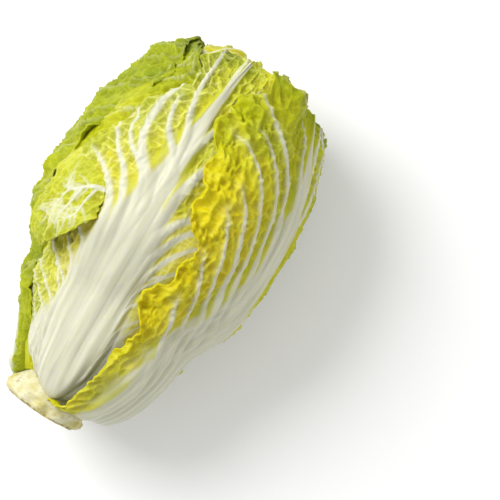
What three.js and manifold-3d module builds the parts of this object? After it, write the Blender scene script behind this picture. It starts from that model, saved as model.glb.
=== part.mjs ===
// A head of napa cabbage, trimmed of its loose outer leaves, lying on its side.
// The stem's cut face is at -X and the leaf tips are at +X. The side that shows best faces up, +Z.
// Every leaf is a curved blade with a broad white rib, and the leaves are laid one over the next,
// each on what is already under it. Lengths are in millimetres and angles in degrees.
import * as THREE from "three";
import { mergeVertices } from "three/addons/utils/BufferGeometryUtils.js";
import Module from "manifold-3d";

// The head's outer form is a barrel of revolution about X. "along" is the angle that runs down it,
// from 0 at the stem's end to 180 at the far pole, and "around" is the angle about X, from the top
// of the lying head towards -Y.
const BELLY_X = 160;
const STEM_HALF_LENGTH = 158;
const TIP_HALF_LENGTH = 136;
const BELLY_RADIUS = 78;
const BLUNTNESS = 0.8;

// Lying down flattens the head and tips it towards its stem, so that it rests under its middle.
const LYING_SQUASH = 0.93;
const LYING_LEAN = 0.05;

// Between the stem and the belly the head is slimmer on its +Y side, by up to this share. The
// slimming grows and ends over these distances from the cut face, and from one y to the other.
const SLIM_SHARE = 0.2;
const SLIM_GROWS = [6, 26];
const SLIM_ENDS = [26, 90];
const SLIM_SIDE = [-30, 60];

// The leaves grow from a ring round the stem. The heart's core is this deep under the barrel's
// surface, at evenly spaced stations from the ring to the far pole.
const LEAF_START = 18;
const CORE_DEPTH = [16, 18, 18, 20, 26, 34];
const LEAF_GAP = 1.0;
const FLAT_SPOT_DEPTH = 3;

// Half the width and the thickness of a leaf's rib, at evenly spaced stations from stem to tip.
const RIB_HALF_WIDTH = [17, 27, 32, 28, 20, 12, 6, 2.8, 1.6];
const RIB_THICKNESS = [3.0, 5.6, 5.6, 4.4, 3.4, 2.6, 1.8, 1.2, 0.8];
const BLADE_THICKNESS = 1.2;

// The rib takes at most this share of the leaf's width. It is full from its middle to one share of
// its half width, and thins by RIB_THINNING up to the other.
const RIB_SHARE = 0.8;
const RIB_FULL_TO = 0.6;
const RIB_THIN_AT = 1.1;
const RIB_THINNING = 0.9;

// The side veins: raised lines that leave the rib level and sweep towards the tip.
const VEIN_PAIRS = 12;
const VEIN_HEIGHT = 1.3;
const VEIN_SWEEP = 0.8;
const VEIN_CURVE = 1.8;
const VEIN_FADE = 0.5;
const VEINS_GROW = [0, 0.15];

// The blade's margin lifts and waves from this share of its width, and its tip from this share of
// the leaf's length. The tip's outline is rounded by TIP_ROUNDING.
const MARGIN_FROM = 0.3;
const TIP_FROM = 0.8;
const TIP_ROUNDING = 0.9;
const TIP_WAVE_LENGTH = 31;
const TIP_WAVE_SHARE = 0.7;

// Over which shares of the leaf's length its waves and flare grow, its foot swells and levels out
// again, and a sunk foot comes up.
const WAVES_GROW = [0.05, 0.25];
const FLARE_GROWS = [0.25, 0.6];
const SWELL_GROWS = [0, 0.08];
const SWELL_ENDS = [0.12, 0.5];
const SINK_ENDS = [0, 0.2];

// How many quads a leaf has along it, and on each side of its middle line. Those of the blade are
// drawn together towards its margin by BLADE_CROWDING.
const LEAF_ROWS = 2 * VEIN_PAIRS;
const RIB_COLUMNS = [0.62, 1];
const BLADE_COLUMNS = 5;
const BLADE_CROWDING = 1.15;

// Each leaf: where its rib lies round the head, how far it reaches along it, and half its width in
// degrees on its low and high side at stations from stem to tip. flare lifts its low margin, its
// high margin and its tip off the head, ruffle is the height of the waves along its margins, and
// swell lifts the foot of its rib.
const LEAVES = [
  {
    name: "leaf_inner_right",
    around: 38,
    reach: 148,
    low: [34, 48, 56, 60, 60, 60],
    high: [34, 48, 56, 60, 60, 60],
    flare: [0, 0, 3],
    ruffle: 4,
    waves: 8,
    colour: 0xe9dc6a,
  },
  {
    name: "leaf_inner_back",
    around: -150,
    reach: 149,
    low: [34, 48, 58, 64, 62, 60],
    high: [34, 48, 58, 64, 62, 60],
    flare: [0, 0, 3],
    ruffle: 4,
    waves: 7,
    colour: 0xe3dc74,
  },
  {
    name: "leaf_inner_left",
    around: -100,
    reach: 146,
    low: [34, 44, 48, 48, 48, 46],
    high: [34, 52, 70, 76, 78, 74],
    flare: [0, 0, 2],
    ruffle: 3,
    waves: 7,
    colour: 0xdfdb6c,
  },
  {
    name: "leaf_far_right",
    around: 122,
    reach: 150,
    low: [30, 42, 50, 52, 50, 46],
    high: [30, 42, 50, 54, 52, 48],
    flare: [0, 3, 5],
    ruffle: 5,
    waves: 7,
    colour: 0xbfce52,
  },
  {
    name: "leaf_front",
    around: -8,
    reach: 154,
    low: [34, 56, 60, 42, 18, 44],
    high: [34, 38, 38, 38, 38, 44],
    flare: [2, 0, 3],
    ruffle: 5,
    waves: 7,
    colour: 0xd8dc7a,
  },
  {
    name: "leaf_left",
    around: -128,
    reach: 150,
    low: [34, 46, 50, 52, 50, 46],
    high: [32, 50, 60, 54, 46, 48, 63, 73, 78, 80, 80],
    flare: [0, 1, 3],
    ruffle: 4,
    waves: 7,
    colour: 0xb4cb45,
  },
  {
    name: "leaf_right",
    around: 62,
    reach: 151,
    low: [33, 41, 47, 52, 62, 60],
    high: [34, 42, 50, 54, 50, 46],
    flare: [5, 2, 3],
    swell: 8,
    ruffle: 6,
    waves: 9,
    colour: 0xcfd45a,
  },
  {
    name: "leaf_under",
    around: 180,
    reach: 149,
    low: [32, 44, 52, 54, 50, 50],
    high: [32, 44, 52, 54, 50, 48],
    flare: [2, 2, 4],
    ruffle: 4,
    waves: 6,
    colour: 0xaecb4a,
  },
];

// The small leaves of the heart, which close over its core.
const HEART_LEAVES = 6;
const HEART_LEAF_TURN = 137.5;
const HEART_LEAF_START = 78;
const HEART_LEAF_REACH = 166;
const HEART_LEAF_SINK = 3;
const HEART_LEAF = {
  start: HEART_LEAF_START,
  reach: HEART_LEAF_REACH,
  sink: HEART_LEAF_SINK,
  low: [40, 52, 58, 60, 64, 66],
  high: [40, 52, 58, 60, 64, 66],
  flare: [0, 0, 2],
  ruffle: 4,
  waves: 5,
};
const FIRST_HEART_LEAF = 200;
const HEART_ROWS = 10;
const HEART_COLUMNS = 3;
const CORE_SIDES = 28;
const CORE_FROM = LEAF_START + 6;
const CORE_TO = 172;
const CORE_STEP = 12;

// For what is laid on it, a leaf reaches this share of its length and these mm of its width further.
const END_MARGIN = 0.03;
const SIDE_MARGIN = 2;

// The loose lobe on the front leaf's low side: it hangs from fromX to its margin, whose x is given
// at evenly spaced places from one angle round the head to the other.
const LOBE = { fromAround: -28, toAround: -62, fromX: 182, topTurn: 8, lift: 7, ruffle: 3, waves: 2.5 };
const LOBE_MARGIN_X = [134, 124, 115, 109, 106, 108];
const LOBE_SUNK_TOP = 5;
const LOBE_FREE_FROM = 0.35;
const LOBE_ROOM = 4;
const LOBE_ROWS = 7;
const LOBE_COLUMNS = 9;

// The cut stem. Its outline is given as heights over the cut face and steps from STEM_RADIUS.
const STEM_RADIUS = 29;
const STEM_OUTLINE = [
  [0, -2.5],
  [1.2, -0.5],
  [3.5, 1.2],
  [5.5, 1],
];
const STEM_SIDES = 45;
const STEM_GAP = 0.6;
const SCAR_COUNT = 9;
const SCAR_HEIGHT = 1.2;

// The grid that holds how high the leaves are stacked: one cell is this many degrees.
const CELL_ALONG = 2;
const CELL_AROUND = 3;
const GRID_END = 178;
const SPREAD_MM = 9;
const SOFTEN_MM = 5;
const WIDEST_FILTER = 12;

// A place this near a later leaf counts as covered by it, and there a leaf's waves are pressed flat
// but for what is left of them by PRESSED.
const COVER_REACH = 8;
const COVER_FULL_AT = 4;
const PRESSED = 0.08;

const wasm = await Module();
wasm.setup();
const rad = THREE.MathUtils.degToRad;
const smooth = THREE.MathUtils.smoothstep;
const eased = (value, [from, to]) => smooth(value, from, to);

// A value read from evenly spaced stations, with straight lines between them.
function stations(values, t) {
  const place = THREE.MathUtils.clamp(t, 0, 1) * (values.length - 1);
  const i = Math.min(Math.floor(place), values.length - 2);
  return THREE.MathUtils.lerp(values[i], values[i + 1], place - i);
}

// The barrel's profile at an angle along it: x, radius, and the outward normal's two parts.
function profile(along) {
  const half = along < 90 ? STEM_HALF_LENGTH : TIP_HALF_LENGTH;
  const sine = Math.max(Math.sin(rad(along)), 1e-4);
  const cosine = Math.cos(rad(along));
  const slopeX = half * sine;
  const slopeR = BELLY_RADIUS * BLUNTNESS * sine ** (BLUNTNESS - 1) * cosine;
  const size = Math.hypot(slopeX, slopeR);
  return {
    x: BELLY_X - half * cosine,
    radius: BELLY_RADIUS * sine ** BLUNTNESS,
    normalX: -slopeR / size,
    normalR: slopeX / size,
    mmPerDegree: rad(size),
  };
}

const coreDepth = (along) => stations(CORE_DEPTH, (along - LEAF_START) / (180 - LEAF_START));

// The place of a point of the barrel in the lying head.
function lying(x, y, z) {
  const slim = SLIM_SHARE * eased(x, SLIM_GROWS) * (1 - eased(x, SLIM_ENDS)) * eased(y, SLIM_SIDE);
  return new THREE.Vector3(x, y * (1 - slim), z * LYING_SQUASH + (x - BELLY_X) * LYING_LEAN);
}

// The point at a height above the barrel's surface.
function headPoint(along, around, height) {
  const p = profile(along);
  const x = p.x + height * p.normalX;
  const radius = p.radius + height * p.normalR;
  return lying(x, -radius * Math.sin(rad(around)), radius * Math.cos(rad(around)));
}

// The angle along the barrel at which its surface has a given x.
function alongAt(x) {
  const half = x < BELLY_X ? STEM_HALF_LENGTH : TIP_HALF_LENGTH;
  return THREE.MathUtils.radToDeg(Math.acos((BELLY_X - x) / half));
}

// The stack: how high the leaves already laid reach over each cell of the barrel.
const GRID_ROWS = Math.floor((GRID_END - LEAF_START) / CELL_ALONG) + 1;
const GRID_COLUMNS = 360 / CELL_AROUND;
const wrapColumn = (j) => ((j % GRID_COLUMNS) + GRID_COLUMNS) % GRID_COLUMNS;
const stack = Array.from({ length: GRID_ROWS }, (_, i) =>
  new Float64Array(GRID_COLUMNS).fill(-coreDepth(LEAF_START + i * CELL_ALONG)),
);

function filtered(grid, reachMm, combine) {
  return grid.map((row, i) => {
    const p = profile(LEAF_START + i * CELL_ALONG);
    const rows = Math.ceil(reachMm / (p.mmPerDegree * CELL_ALONG));
    const columns = Math.min(Math.ceil(reachMm / (rad(CELL_AROUND) * p.radius)), WIDEST_FILTER);
    return row.map((_, j) => {
      const near = [];
      for (let di = -rows; di <= rows; di++) {
        const other = grid[THREE.MathUtils.clamp(i + di, 0, GRID_ROWS - 1)];
        for (let dj = -columns; dj <= columns; dj++) near.push(other[wrapColumn(j + dj)]);
      }
      return combine(near);
    });
  });
}

// A smooth surface that lies over the whole stack.
function coverOf(stack) {
  const spread = filtered(stack, SPREAD_MM, (near) => Math.max(...near));
  return filtered(spread, SOFTEN_MM, (near) => near.reduce((a, b) => a + b, 0) / near.length);
}

function readGrid(grid, along, around) {
  const row = THREE.MathUtils.clamp((along - LEAF_START) / CELL_ALONG, 0, GRID_ROWS - 1.001);
  const column = around / CELL_AROUND;
  const [i, j] = [Math.floor(row), Math.floor(column)];
  const [s, t] = [row - i, column - j];
  const edge = (k) => THREE.MathUtils.lerp(grid[k][wrapColumn(j)], grid[k][wrapColumn(j + 1)], t);
  return THREE.MathUtils.lerp(edge(i), edge(i + 1), s);
}

// A leaf's half widths in mm at a share of its length: of the rib, and of the whole leaf.
function leafWidths(leaf, share, side) {
  const along = leafAlong(leaf, share);
  const past = Math.max(0, (share - TIP_FROM) / (1 - TIP_FROM));
  const rounding = Math.sqrt(1 - TIP_ROUNDING * past * past);
  const degrees = stations(side < 0 ? leaf.low : leaf.high, share) * rounding;
  const whole = rad(degrees) * profile(along).radius;
  return { whole, rib: Math.min(stations(RIB_HALF_WIDTH, share), RIB_SHARE * whole) };
}

const leafStart = (leaf) => leaf.start ?? LEAF_START;
const leafAlong = (leaf, share) => leafStart(leaf) + share * (leaf.reach - leafStart(leaf));

// A vein leaves the rib level and sweeps towards the tip: the share of the length at a vein number
// (0 to 1 from stem to tip) and a share of the blade's width, and its inverse.
const sweep = (blade) => VEIN_SWEEP * blade ** VEIN_CURVE;
const shareAt = (vein, blade) => vein + sweep(blade) * vein * (1 - vein);
function veinAt(share, blade) {
  const k = sweep(blade);
  return k < 1e-6 ? share : (1 + k - Math.sqrt((1 + k) ** 2 - 4 * k * share)) / (2 * k);
}

// A wave between 0 and 1.
const wave = (turns, phase) => 0.5 + 0.5 * Math.cos(2 * Math.PI * turns + phase);

// Thickness and lift of a leaf at a place on it. share is of its length, across is 0 to 1 over the
// rib's half width and 1 to 2 over the blade's, blade is 0 to 1 over the blade's, and mm is the
// distance from the middle line.
function leafForm(leaf, { share, side, across, blade, mm }) {
  const rib = stations(RIB_THICKNESS, share) * (1 - RIB_THINNING * smooth(across, RIB_FULL_TO, RIB_THIN_AT));
  const margin = smooth(blade, MARGIN_FROM, 1);
  const tip = smooth(share, TIP_FROM, 1);
  const phase = side < 0 ? 0 : 2;
  const sideWave = margin * (1 - tip) * eased(share, WAVES_GROW) * wave(leaf.waves * share, phase);
  const tipWave = TIP_WAVE_SHARE * tip * wave(mm / TIP_WAVE_LENGTH, phase);
  const flare = leaf.flare[side < 0 ? 0 : 1] * margin * eased(share, FLARE_GROWS) + leaf.flare[2] * tip;
  const swell = (leaf.swell ?? 0) * eased(share, SWELL_GROWS) * (1 - eased(share, SWELL_ENDS));
  const sunk = (leaf.sink ?? 0) * (1 - eased(share, SINK_ENDS));
  const veined = eased(blade, VEINS_GROW) * (1 - VEIN_FADE * blade) * (1 - tip);
  return {
    thickness: BLADE_THICKNESS + rib,
    fixed: VEIN_HEIGHT * veined * wave(VEIN_PAIRS * veinAt(share, blade), 0) + swell - sunk,
    loose: leaf.ruffle * (sideWave + tipWave) + flare,
  };
}

// Where a point of the barrel falls on a leaf, or null if it is off it by more than a margin in mm.
function placeOnLeaf(leaf, along, around, marginMm) {
  const share = (along - leafStart(leaf)) / (leaf.reach - leafStart(leaf));
  if (Math.abs(share - 0.5) > 0.5 + END_MARGIN) return null;
  const turn = ((((around - leaf.around + 180) % 360) + 360) % 360) - 180;
  const side = turn < 0 ? -1 : 1;
  const held = THREE.MathUtils.clamp(share, 0, 1);
  const { whole, rib } = leafWidths(leaf, held, side);
  const mm = Math.abs(rad(turn)) * profile(along).radius;
  if (mm > whole + marginMm) return null;
  const across = Math.min(mm / rib, 1);
  const blade = THREE.MathUtils.clamp((mm - rib) / (whole - rib), 0, 1);
  return { share: held, side, across: mm < rib ? across : 1 + blade, blade, mm, inside: whole - mm };
}

// How far later leaves cover a place, from 0 to 1.
function coveredBy(later, along, around) {
  let most = 0;
  for (const leaf of later) {
    const place = placeOnLeaf(leaf, along, around, COVER_REACH);
    if (place) most = Math.max(most, smooth(place.inside, -COVER_REACH, COVER_FULL_AT));
  }
  return most;
}

// Joins two like sheets of points, rows by columns, into one closed body.
function closedSheet(outer, inner) {
  const rows = outer.length;
  const columns = outer[0].length;
  const points = [...outer.flat(), ...inner.flat()];
  const shift = rows * columns;
  const index = [];
  const at = (i, j) => i * columns + j;
  for (let i = 0; i + 1 < rows; i++) {
    for (let j = 0; j + 1 < columns; j++) {
      const [a, b, c, d] = [at(i, j), at(i, j + 1), at(i + 1, j + 1), at(i + 1, j)];
      index.push(a, b, c, a, c, d);
      index.push(a + shift, c + shift, b + shift, a + shift, d + shift, c + shift);
    }
  }
  const rim = [];
  for (let j = 0; j < columns; j++) rim.push(at(0, j));
  for (let i = 1; i < rows; i++) rim.push(at(i, columns - 1));
  for (let j = columns - 2; j >= 0; j--) rim.push(at(rows - 1, j));
  for (let i = rows - 2; i > 0; i--) rim.push(at(i, 0));
  rim.forEach((a, n) => {
    const b = rim[(n + 1) % rim.length];
    index.push(a, a + shift, b + shift, a, b + shift, b);
  });
  const geometry = new THREE.BufferGeometry().setFromPoints(points);
  geometry.setIndex(index);
  return geometry;
}

function solidOf(geometry) {
  const bare = new THREE.BufferGeometry()
    .setAttribute("position", geometry.getAttribute("position"))
    .setIndex(geometry.getIndex());
  const merged = mergeVertices(bare, 1e-3);
  const mesh = new wasm.Mesh({
    numProp: 3,
    vertProperties: new Float32Array(merged.attributes.position.array),
    triVerts: new Uint32Array(merged.index.array),
  });
  const solid = new wasm.Manifold(mesh);
  if (solid.volume() > 0) return solid;
  for (let i = 0; i < mesh.triVerts.length; i += 3) {
    [mesh.triVerts[i + 1], mesh.triVerts[i + 2]] = [mesh.triVerts[i + 2], mesh.triVerts[i + 1]];
  }
  return new wasm.Manifold(mesh);
}

// The largest body of a solid, with its sealed hollows filled and its scraps dropped.
function geometryOf(solid) {
  const bodies = solid.decompose().sort((a, b) => b.volume() - a.volume());
  const mesh = bodies[0].getMesh();
  const geometry = new THREE.BufferGeometry();
  geometry.setAttribute("position", new THREE.BufferAttribute(new Float32Array(mesh.vertProperties), 3));
  geometry.setIndex(new THREE.BufferAttribute(new Uint32Array(mesh.triVerts), 1));
  return geometry;
}

// The middle lines of a leaf's columns of points, from its low margin to its high one: the side, the
// share of the rib's half width, and the share of the blade's.
function leafColumns(bladeColumns) {
  const half = RIB_COLUMNS.map((share) => [share, 0]);
  for (let j = 1; j <= bladeColumns; j++) half.push([1, 1 - (1 - j / bladeColumns) ** BLADE_CROWDING]);
  const low = half.map(([rib, blade]) => [-1, rib, blade]).reverse();
  const high = half.map(([rib, blade]) => [1, rib, blade]);
  return [...low, [1, 0, 0], ...high];
}

// One leaf laid on the stack. The stack then rises by it.
function layLeaf(leaf, later, rows, bladeColumns) {
  const cover = coverOf(stack);
  const heights = (place, along, around) => {
    const form = leafForm(leaf, place);
    const free = 1 - (1 - PRESSED) * coveredBy(later, along, around);
    const under = readGrid(cover, along, around) + LEAF_GAP + form.loose * free + form.fixed;
    return [under, under + form.thickness];
  };
  const columns = leafColumns(bladeColumns);
  const outer = [];
  const inner = [];
  for (let i = 0; i <= rows; i++) {
    const [outerRow, innerRow] = [[], []];
    for (const [side, across, blade] of columns) {
      const share = shareAt(i / rows, blade);
      const along = leafAlong(leaf, share);
      const { whole, rib } = leafWidths(leaf, share, side);
      const mm = rib * across + (whole - rib) * blade;
      const around = leaf.around + (side * THREE.MathUtils.radToDeg(mm)) / profile(along).radius;
      const place = { share, side, across: across + blade, blade, mm };
      const [low, high] = heights(place, along, around);
      outerRow.push(headPoint(along, around, high));
      innerRow.push(headPoint(along, around, low));
    }
    outer.push(outerRow);
    inner.push(innerRow);
  }
  const raised = stack.map((row, i) => {
    const along = LEAF_START + i * CELL_ALONG;
    return row.map((height, j) => {
      const place = placeOnLeaf(leaf, along, j * CELL_AROUND, SIDE_MARGIN);
      return place ? Math.max(height, heights(place, along, j * CELL_AROUND)[1]) : height;
    });
  });
  raised.forEach((row, i) => stack[i].set(row));
  return { outer, inner };
}

// The loose lobe: its top is sunk in the front leaf, and its lower margin stands off.
function layLobe() {
  const cover = coverOf(stack);
  const [outer, inner] = [[], []];
  for (let i = 0; i <= LOBE_ROWS; i++) {
    const down = i / LOBE_ROWS;
    const [outerRow, innerRow] = [[], []];
    for (let j = 0; j <= LOBE_COLUMNS; j++) {
      const over = j / LOBE_COLUMNS;
      const along = alongAt(THREE.MathUtils.lerp(LOBE.fromX, stations(LOBE_MARGIN_X, over), down));
      const around = THREE.MathUtils.lerp(LOBE.fromAround - LOBE.topTurn * (1 - down), LOBE.toAround, over);
      const sunk = LOBE_SUNK_TOP * (1 - smooth(down, 0, LOBE_FREE_FROM));
      const lift = LOBE.lift * down + LOBE.ruffle * wave(LOBE.waves * over, 0) * down * down;
      const low = readGrid(cover, along, around) + lift - sunk;
      innerRow.push(headPoint(along, around, low));
      outerRow.push(headPoint(along, around, low + BLADE_THICKNESS));
    }
    outer.push(outerRow);
    inner.push(innerRow);
  }
  const lowest = Math.min(...LOBE_MARGIN_X);
  stack.forEach((row, i) => {
    const along = LEAF_START + i * CELL_ALONG;
    const down = (LOBE.fromX - profile(along).x) / (LOBE.fromX - lowest);
    if (down < 0 || down > 1 + END_MARGIN) return;
    const lift = (LOBE.lift + LOBE.ruffle) * down + BLADE_THICKNESS;
    for (let around = LOBE.toAround - LOBE_ROOM; around <= LOBE.fromAround + LOBE_ROOM; around++) {
      const j = wrapColumn(Math.round(around / CELL_AROUND));
      row[j] = Math.max(row[j], readGrid(cover, along, around) + lift);
    }
  });
  return { outer, inner };
}

// The cut stem: a short round stump with the scars of the leaves that were pulled off it, and a
// cone that the leaves grow from.
function stumpGeometry() {
  const ring = profile(LEAF_START);
  const cone = (height) => [
    ring.x + height * ring.normalX - STEM_GAP * ring.normalR,
    ring.radius + height * ring.normalR + STEM_GAP * ring.normalX,
  ];
  const end = cone(STEM_GAP - CORE_DEPTH[0]);
  const side = STEM_OUTLINE.map(([x, step]) => [x, STEM_RADIUS + step]);
  const outline = [[0, 0], ...side, cone(0), end, [end[0], 0]];
  const lathe = new THREE.LatheGeometry(outline.map(([x, r]) => new THREE.Vector2(r, x)), STEM_SIDES);
  const position = lathe.getAttribute("position");
  const scarsEnd = STEM_OUTLINE.at(-1)[0];
  for (let i = 0; i < position.count; i++) {
    const [px, py, pz] = [position.getX(i), position.getY(i), position.getZ(i)];
    const turn = Math.atan2(pz, px);
    const bump = py > 0 && py <= scarsEnd ? Math.cos(SCAR_COUNT * turn + 2 * Math.sin(3 * turn)) : 0;
    const radius = Math.hypot(px, pz) + SCAR_HEIGHT * bump;
    const point = lying(py, radius * Math.cos(turn), radius * Math.sin(turn));
    position.setXYZ(i, point.x, point.y, point.z);
  }
  return geometryOf(solidOf(lathe));
}

// The heart: a core that the stacked leaves close round, with its own small leaves over its tip.
function heartSolid() {
  const ring = profile(LEAF_START);
  const outline = [new THREE.Vector2(0, ring.x - CORE_DEPTH[0] * ring.normalX)];
  for (let along = CORE_FROM; along <= CORE_TO; along += CORE_STEP) {
    const p = profile(along);
    const depth = coreDepth(along);
    outline.push(new THREE.Vector2(p.radius - depth * p.normalR, p.x - depth * p.normalX));
  }
  outline.push(new THREE.Vector2(0, outline.at(-1).y));
  const core = new THREE.LatheGeometry(outline, CORE_SIDES);
  const position = core.getAttribute("position");
  for (let i = 0; i < position.count; i++) {
    const point = lying(position.getY(i), position.getX(i), position.getZ(i));
    position.setXYZ(i, point.x, point.y, point.z);
  }
  let solid = solidOf(core);
  for (let n = 0; n < HEART_LEAVES; n++) {
    const leaf = { ...HEART_LEAF, around: FIRST_HEART_LEAF + n * HEART_LEAF_TURN };
    const sheet = layLeaf(leaf, [], HEART_ROWS, HEART_COLUMNS);
    solid = solid.add(solidOf(closedSheet(sheet.outer, sheet.inner)));
  }
  return solid;
}

function pieceMesh(name, geometry, colour, roughness) {
  const material = new THREE.MeshStandardMaterial({ color: colour, roughness, metalness: 0 });
  const mesh = new THREE.Mesh(geometry, material);
  mesh.name = name;
  return mesh;
}

const head = new THREE.Group();
head.name = "napa_cabbage";
head.add(pieceMesh("stump", stumpGeometry(), 0xe8e4cf, 0.6));
head.add(pieceMesh("heart", geometryOf(heartSolid()), 0xeee27a, 0.45));
LEAVES.forEach((leaf, n) => {
  const { outer, inner } = layLeaf(leaf, LEAVES.slice(n + 1), LEAF_ROWS, BLADE_COLUMNS);
  if (leaf.name === "leaf_under") {
    const lowest = Math.min(...outer.flat().map((p) => p.z));
    outer.flat().forEach((p) => (p.z = Math.max(p.z, lowest + FLAT_SPOT_DEPTH)));
  }
  let solid = solidOf(closedSheet(outer, inner));
  if (leaf.name === "leaf_front") {
    const lobe = layLobe();
    solid = solid.add(solidOf(closedSheet(lobe.outer, lobe.inner)));
  }
  head.add(pieceMesh(leaf.name, geometryOf(solid), leaf.colour, 0.45));
});

// The head is moved so that its rest face is at z = 0, with the origin under its middle.
const box = new THREE.Box3().setFromObject(head);
head.position.set(-(box.min.x + box.max.x) / 2, -(box.min.y + box.max.y) / 2, -box.min.z);

export default head;
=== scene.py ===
import math
from collections import namedtuple
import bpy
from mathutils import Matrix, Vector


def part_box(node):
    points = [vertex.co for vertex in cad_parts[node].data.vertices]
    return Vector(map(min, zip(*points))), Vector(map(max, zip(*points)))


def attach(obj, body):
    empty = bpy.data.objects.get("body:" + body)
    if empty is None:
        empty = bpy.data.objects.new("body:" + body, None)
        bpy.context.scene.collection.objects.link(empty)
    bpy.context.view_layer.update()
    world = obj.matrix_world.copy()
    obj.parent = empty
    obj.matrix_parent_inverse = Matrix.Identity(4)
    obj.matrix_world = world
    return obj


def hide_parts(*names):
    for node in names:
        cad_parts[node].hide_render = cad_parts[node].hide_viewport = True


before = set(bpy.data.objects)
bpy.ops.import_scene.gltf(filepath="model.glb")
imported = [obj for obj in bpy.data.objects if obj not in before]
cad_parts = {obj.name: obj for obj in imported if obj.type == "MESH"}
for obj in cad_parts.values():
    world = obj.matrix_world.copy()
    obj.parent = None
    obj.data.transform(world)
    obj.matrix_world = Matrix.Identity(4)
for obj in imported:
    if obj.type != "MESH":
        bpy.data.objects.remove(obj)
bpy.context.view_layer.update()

from types import SimpleNamespace

import bmesh
import bpy
import numpy as np
from mathutils import Matrix, Vector

bl_info = {
    "name": "Napa Cabbage",
    "version": (1, 0, 0),
    "blender": (4, 5, 0),
    "location": "View3D > Sidebar > Cabbage",
    "description": "Dresses a packed head of napa cabbage that lies on its side",
    "category": "Object",
}

MM = 0.001


def linear(red, green, blue):
    """A screen colour, 0 to 255, as the linear colour that Blender's sockets take."""
    return tuple(
        c / 12.92 if c <= 0.04045 else ((c + 0.055) / 1.055) ** 2.4
        for c in (red / 255, green / 255, blue / 255)
    )


# The head's form, in millimetres and degrees in the head's own frame: the cut face at x = 0 and the
# axis along X. "along" runs down the barrel from the stem, "around" turns from the top to -Y.
BELLY_X = 160.0
STEM_HALF_LENGTH = 158.0
TIP_HALF_LENGTH = 136.0
BELLY_RADIUS = 78.0
BLUNTNESS = 0.8
LYING_SQUASH = 0.93
LYING_LEAN = 0.05
SLIM_SHARE = 0.2
SLIM_GROWS = (6, 26)
SLIM_ENDS = (26, 90)
SLIM_SIDE = (-30, 60)
LEAF_START = 18.0
CORE_DEPTH = [16, 18, 18, 20, 26, 34]

# Where the head's frame stands in the row frame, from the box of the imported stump: its cut face,
# and its middle, which its uneven scars and the lean put off the axis by these amounts.
STUMP_LOW, STUMP_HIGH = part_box("stump")
SCARS_OFF_AXIS = (-0.6, 7.8)
HEAD_AT = (
    STUMP_LOW.x / MM,
    (STUMP_LOW.y + STUMP_HIGH.y) / 2 / MM + SCARS_OFF_AXIS[0],
    (STUMP_LOW.z + STUMP_HIGH.z) / 2 / MM + SCARS_OFF_AXIS[1],
)

# A leaf from its stem end to its tip: its rib's half width, how much of that is white, and how far
# the rib stands over the blade, in millimetres. The others say where, by shares of the leaf's
# length or of its half width, its rib, margins, waves and swellings begin and are full.
RIB_HALF_WIDTH = [17, 27, 32, 28, 20, 12, 6, 2.8, 1.6]
RIB_WHITE_SHARE = [1, 1, 1, 0.92, 0.68, 0.5, 0.45, 0.6, 0.6]
RIB_THICKNESS = [3.0, 5.6, 5.6, 4.4, 3.4, 2.6, 1.8, 1.2, 0.8]
PACKED_BLADE = 1.2
RIB_SHARE = 0.8
RIB_FULL_TO = 0.6
RIB_THIN_AT = 1.1
RIB_THINNING = 0.9
MARGIN_FROM = 0.3
TIP_FROM = 0.8
TIP_ROUNDING = 0.9
TIP_WAVE_LENGTH = 31.0
TIP_WAVE_SHARE = 0.7
WAVES_GROW = (0.05, 0.25)
FLARE_GROWS = (0.25, 0.6)
SWELL_GROWS = (0, 0.08)
SWELL_ENDS = (0.12, 0.5)
SINK_ENDS = (0, 0.2)
VEINED_LEVEL = 0.65
VEINED_FROM = 0.15

# How the leaves stack up: the cells of the height grid in degrees, how far a leaf bridges what is
# under it in millimetres, and how far later leaves press earlier ones flat.
CELL_ALONG = 1.0
CELL_AROUND = 1.5
GRID_END = 178.0
SPREAD_MM = 9.0
SOFTEN_MM = 5.0
CLOSE_SPREAD_MM = 3.0
CLOSE_SOFTEN_MM = 3.5
WIDEST_FILTER = 24
END_MARGIN = 0.03
SIDE_MARGIN = 2.0
COVER_REACH = 8.0
COVER_FULL_AT = 4.0
PRESSED = 0.08
RELIEF_PRESSED = 0.12

# What a leaf looks like unless its own line says otherwise. Pairs are for its low and high side.
LEAF_LOOKS = dict(
    start=LEAF_START, swell=0.0, sink=0.0, curl=(0.2, 0.2), crumple=(0.0, 0.0), tint=0.45,
    tint_tip=0.25, tint_margin=(0.2, 0.2), groove=(7.0, 0.35), veins=None, vein_height=1.7,
    side_girth=0.8, blister=1.0, hug=0.85, rib_white=(1.0, 1.0), margin=None, tint_band=0.0,
    scallop=1.0, lift=0.72, tip_back=0.0, foot_white=0.0, frill_wave=1.0,
    press=(0.0, 0.0), low_tint=0.0, vein_white=1.0, glow=0.0, bulge=1.0, net_shown=0.55, dip=30.0,
    shown_girth=1.0, foot_veins=0,
)


def leaf(name, around, reach, low, high, flare, ruffle, waves, **looks):
    """One leaf's form and looks. lift is the share of the margin's packed lift that stays smooth,
    and creases make up the rest."""
    values = dict(LEAF_LOOKS, **looks)
    return SimpleNamespace(name=name, around=around, reach=reach, low=low, high=high, flare=flare,
                           ruffle=ruffle, waves=waves, **values)


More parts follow.
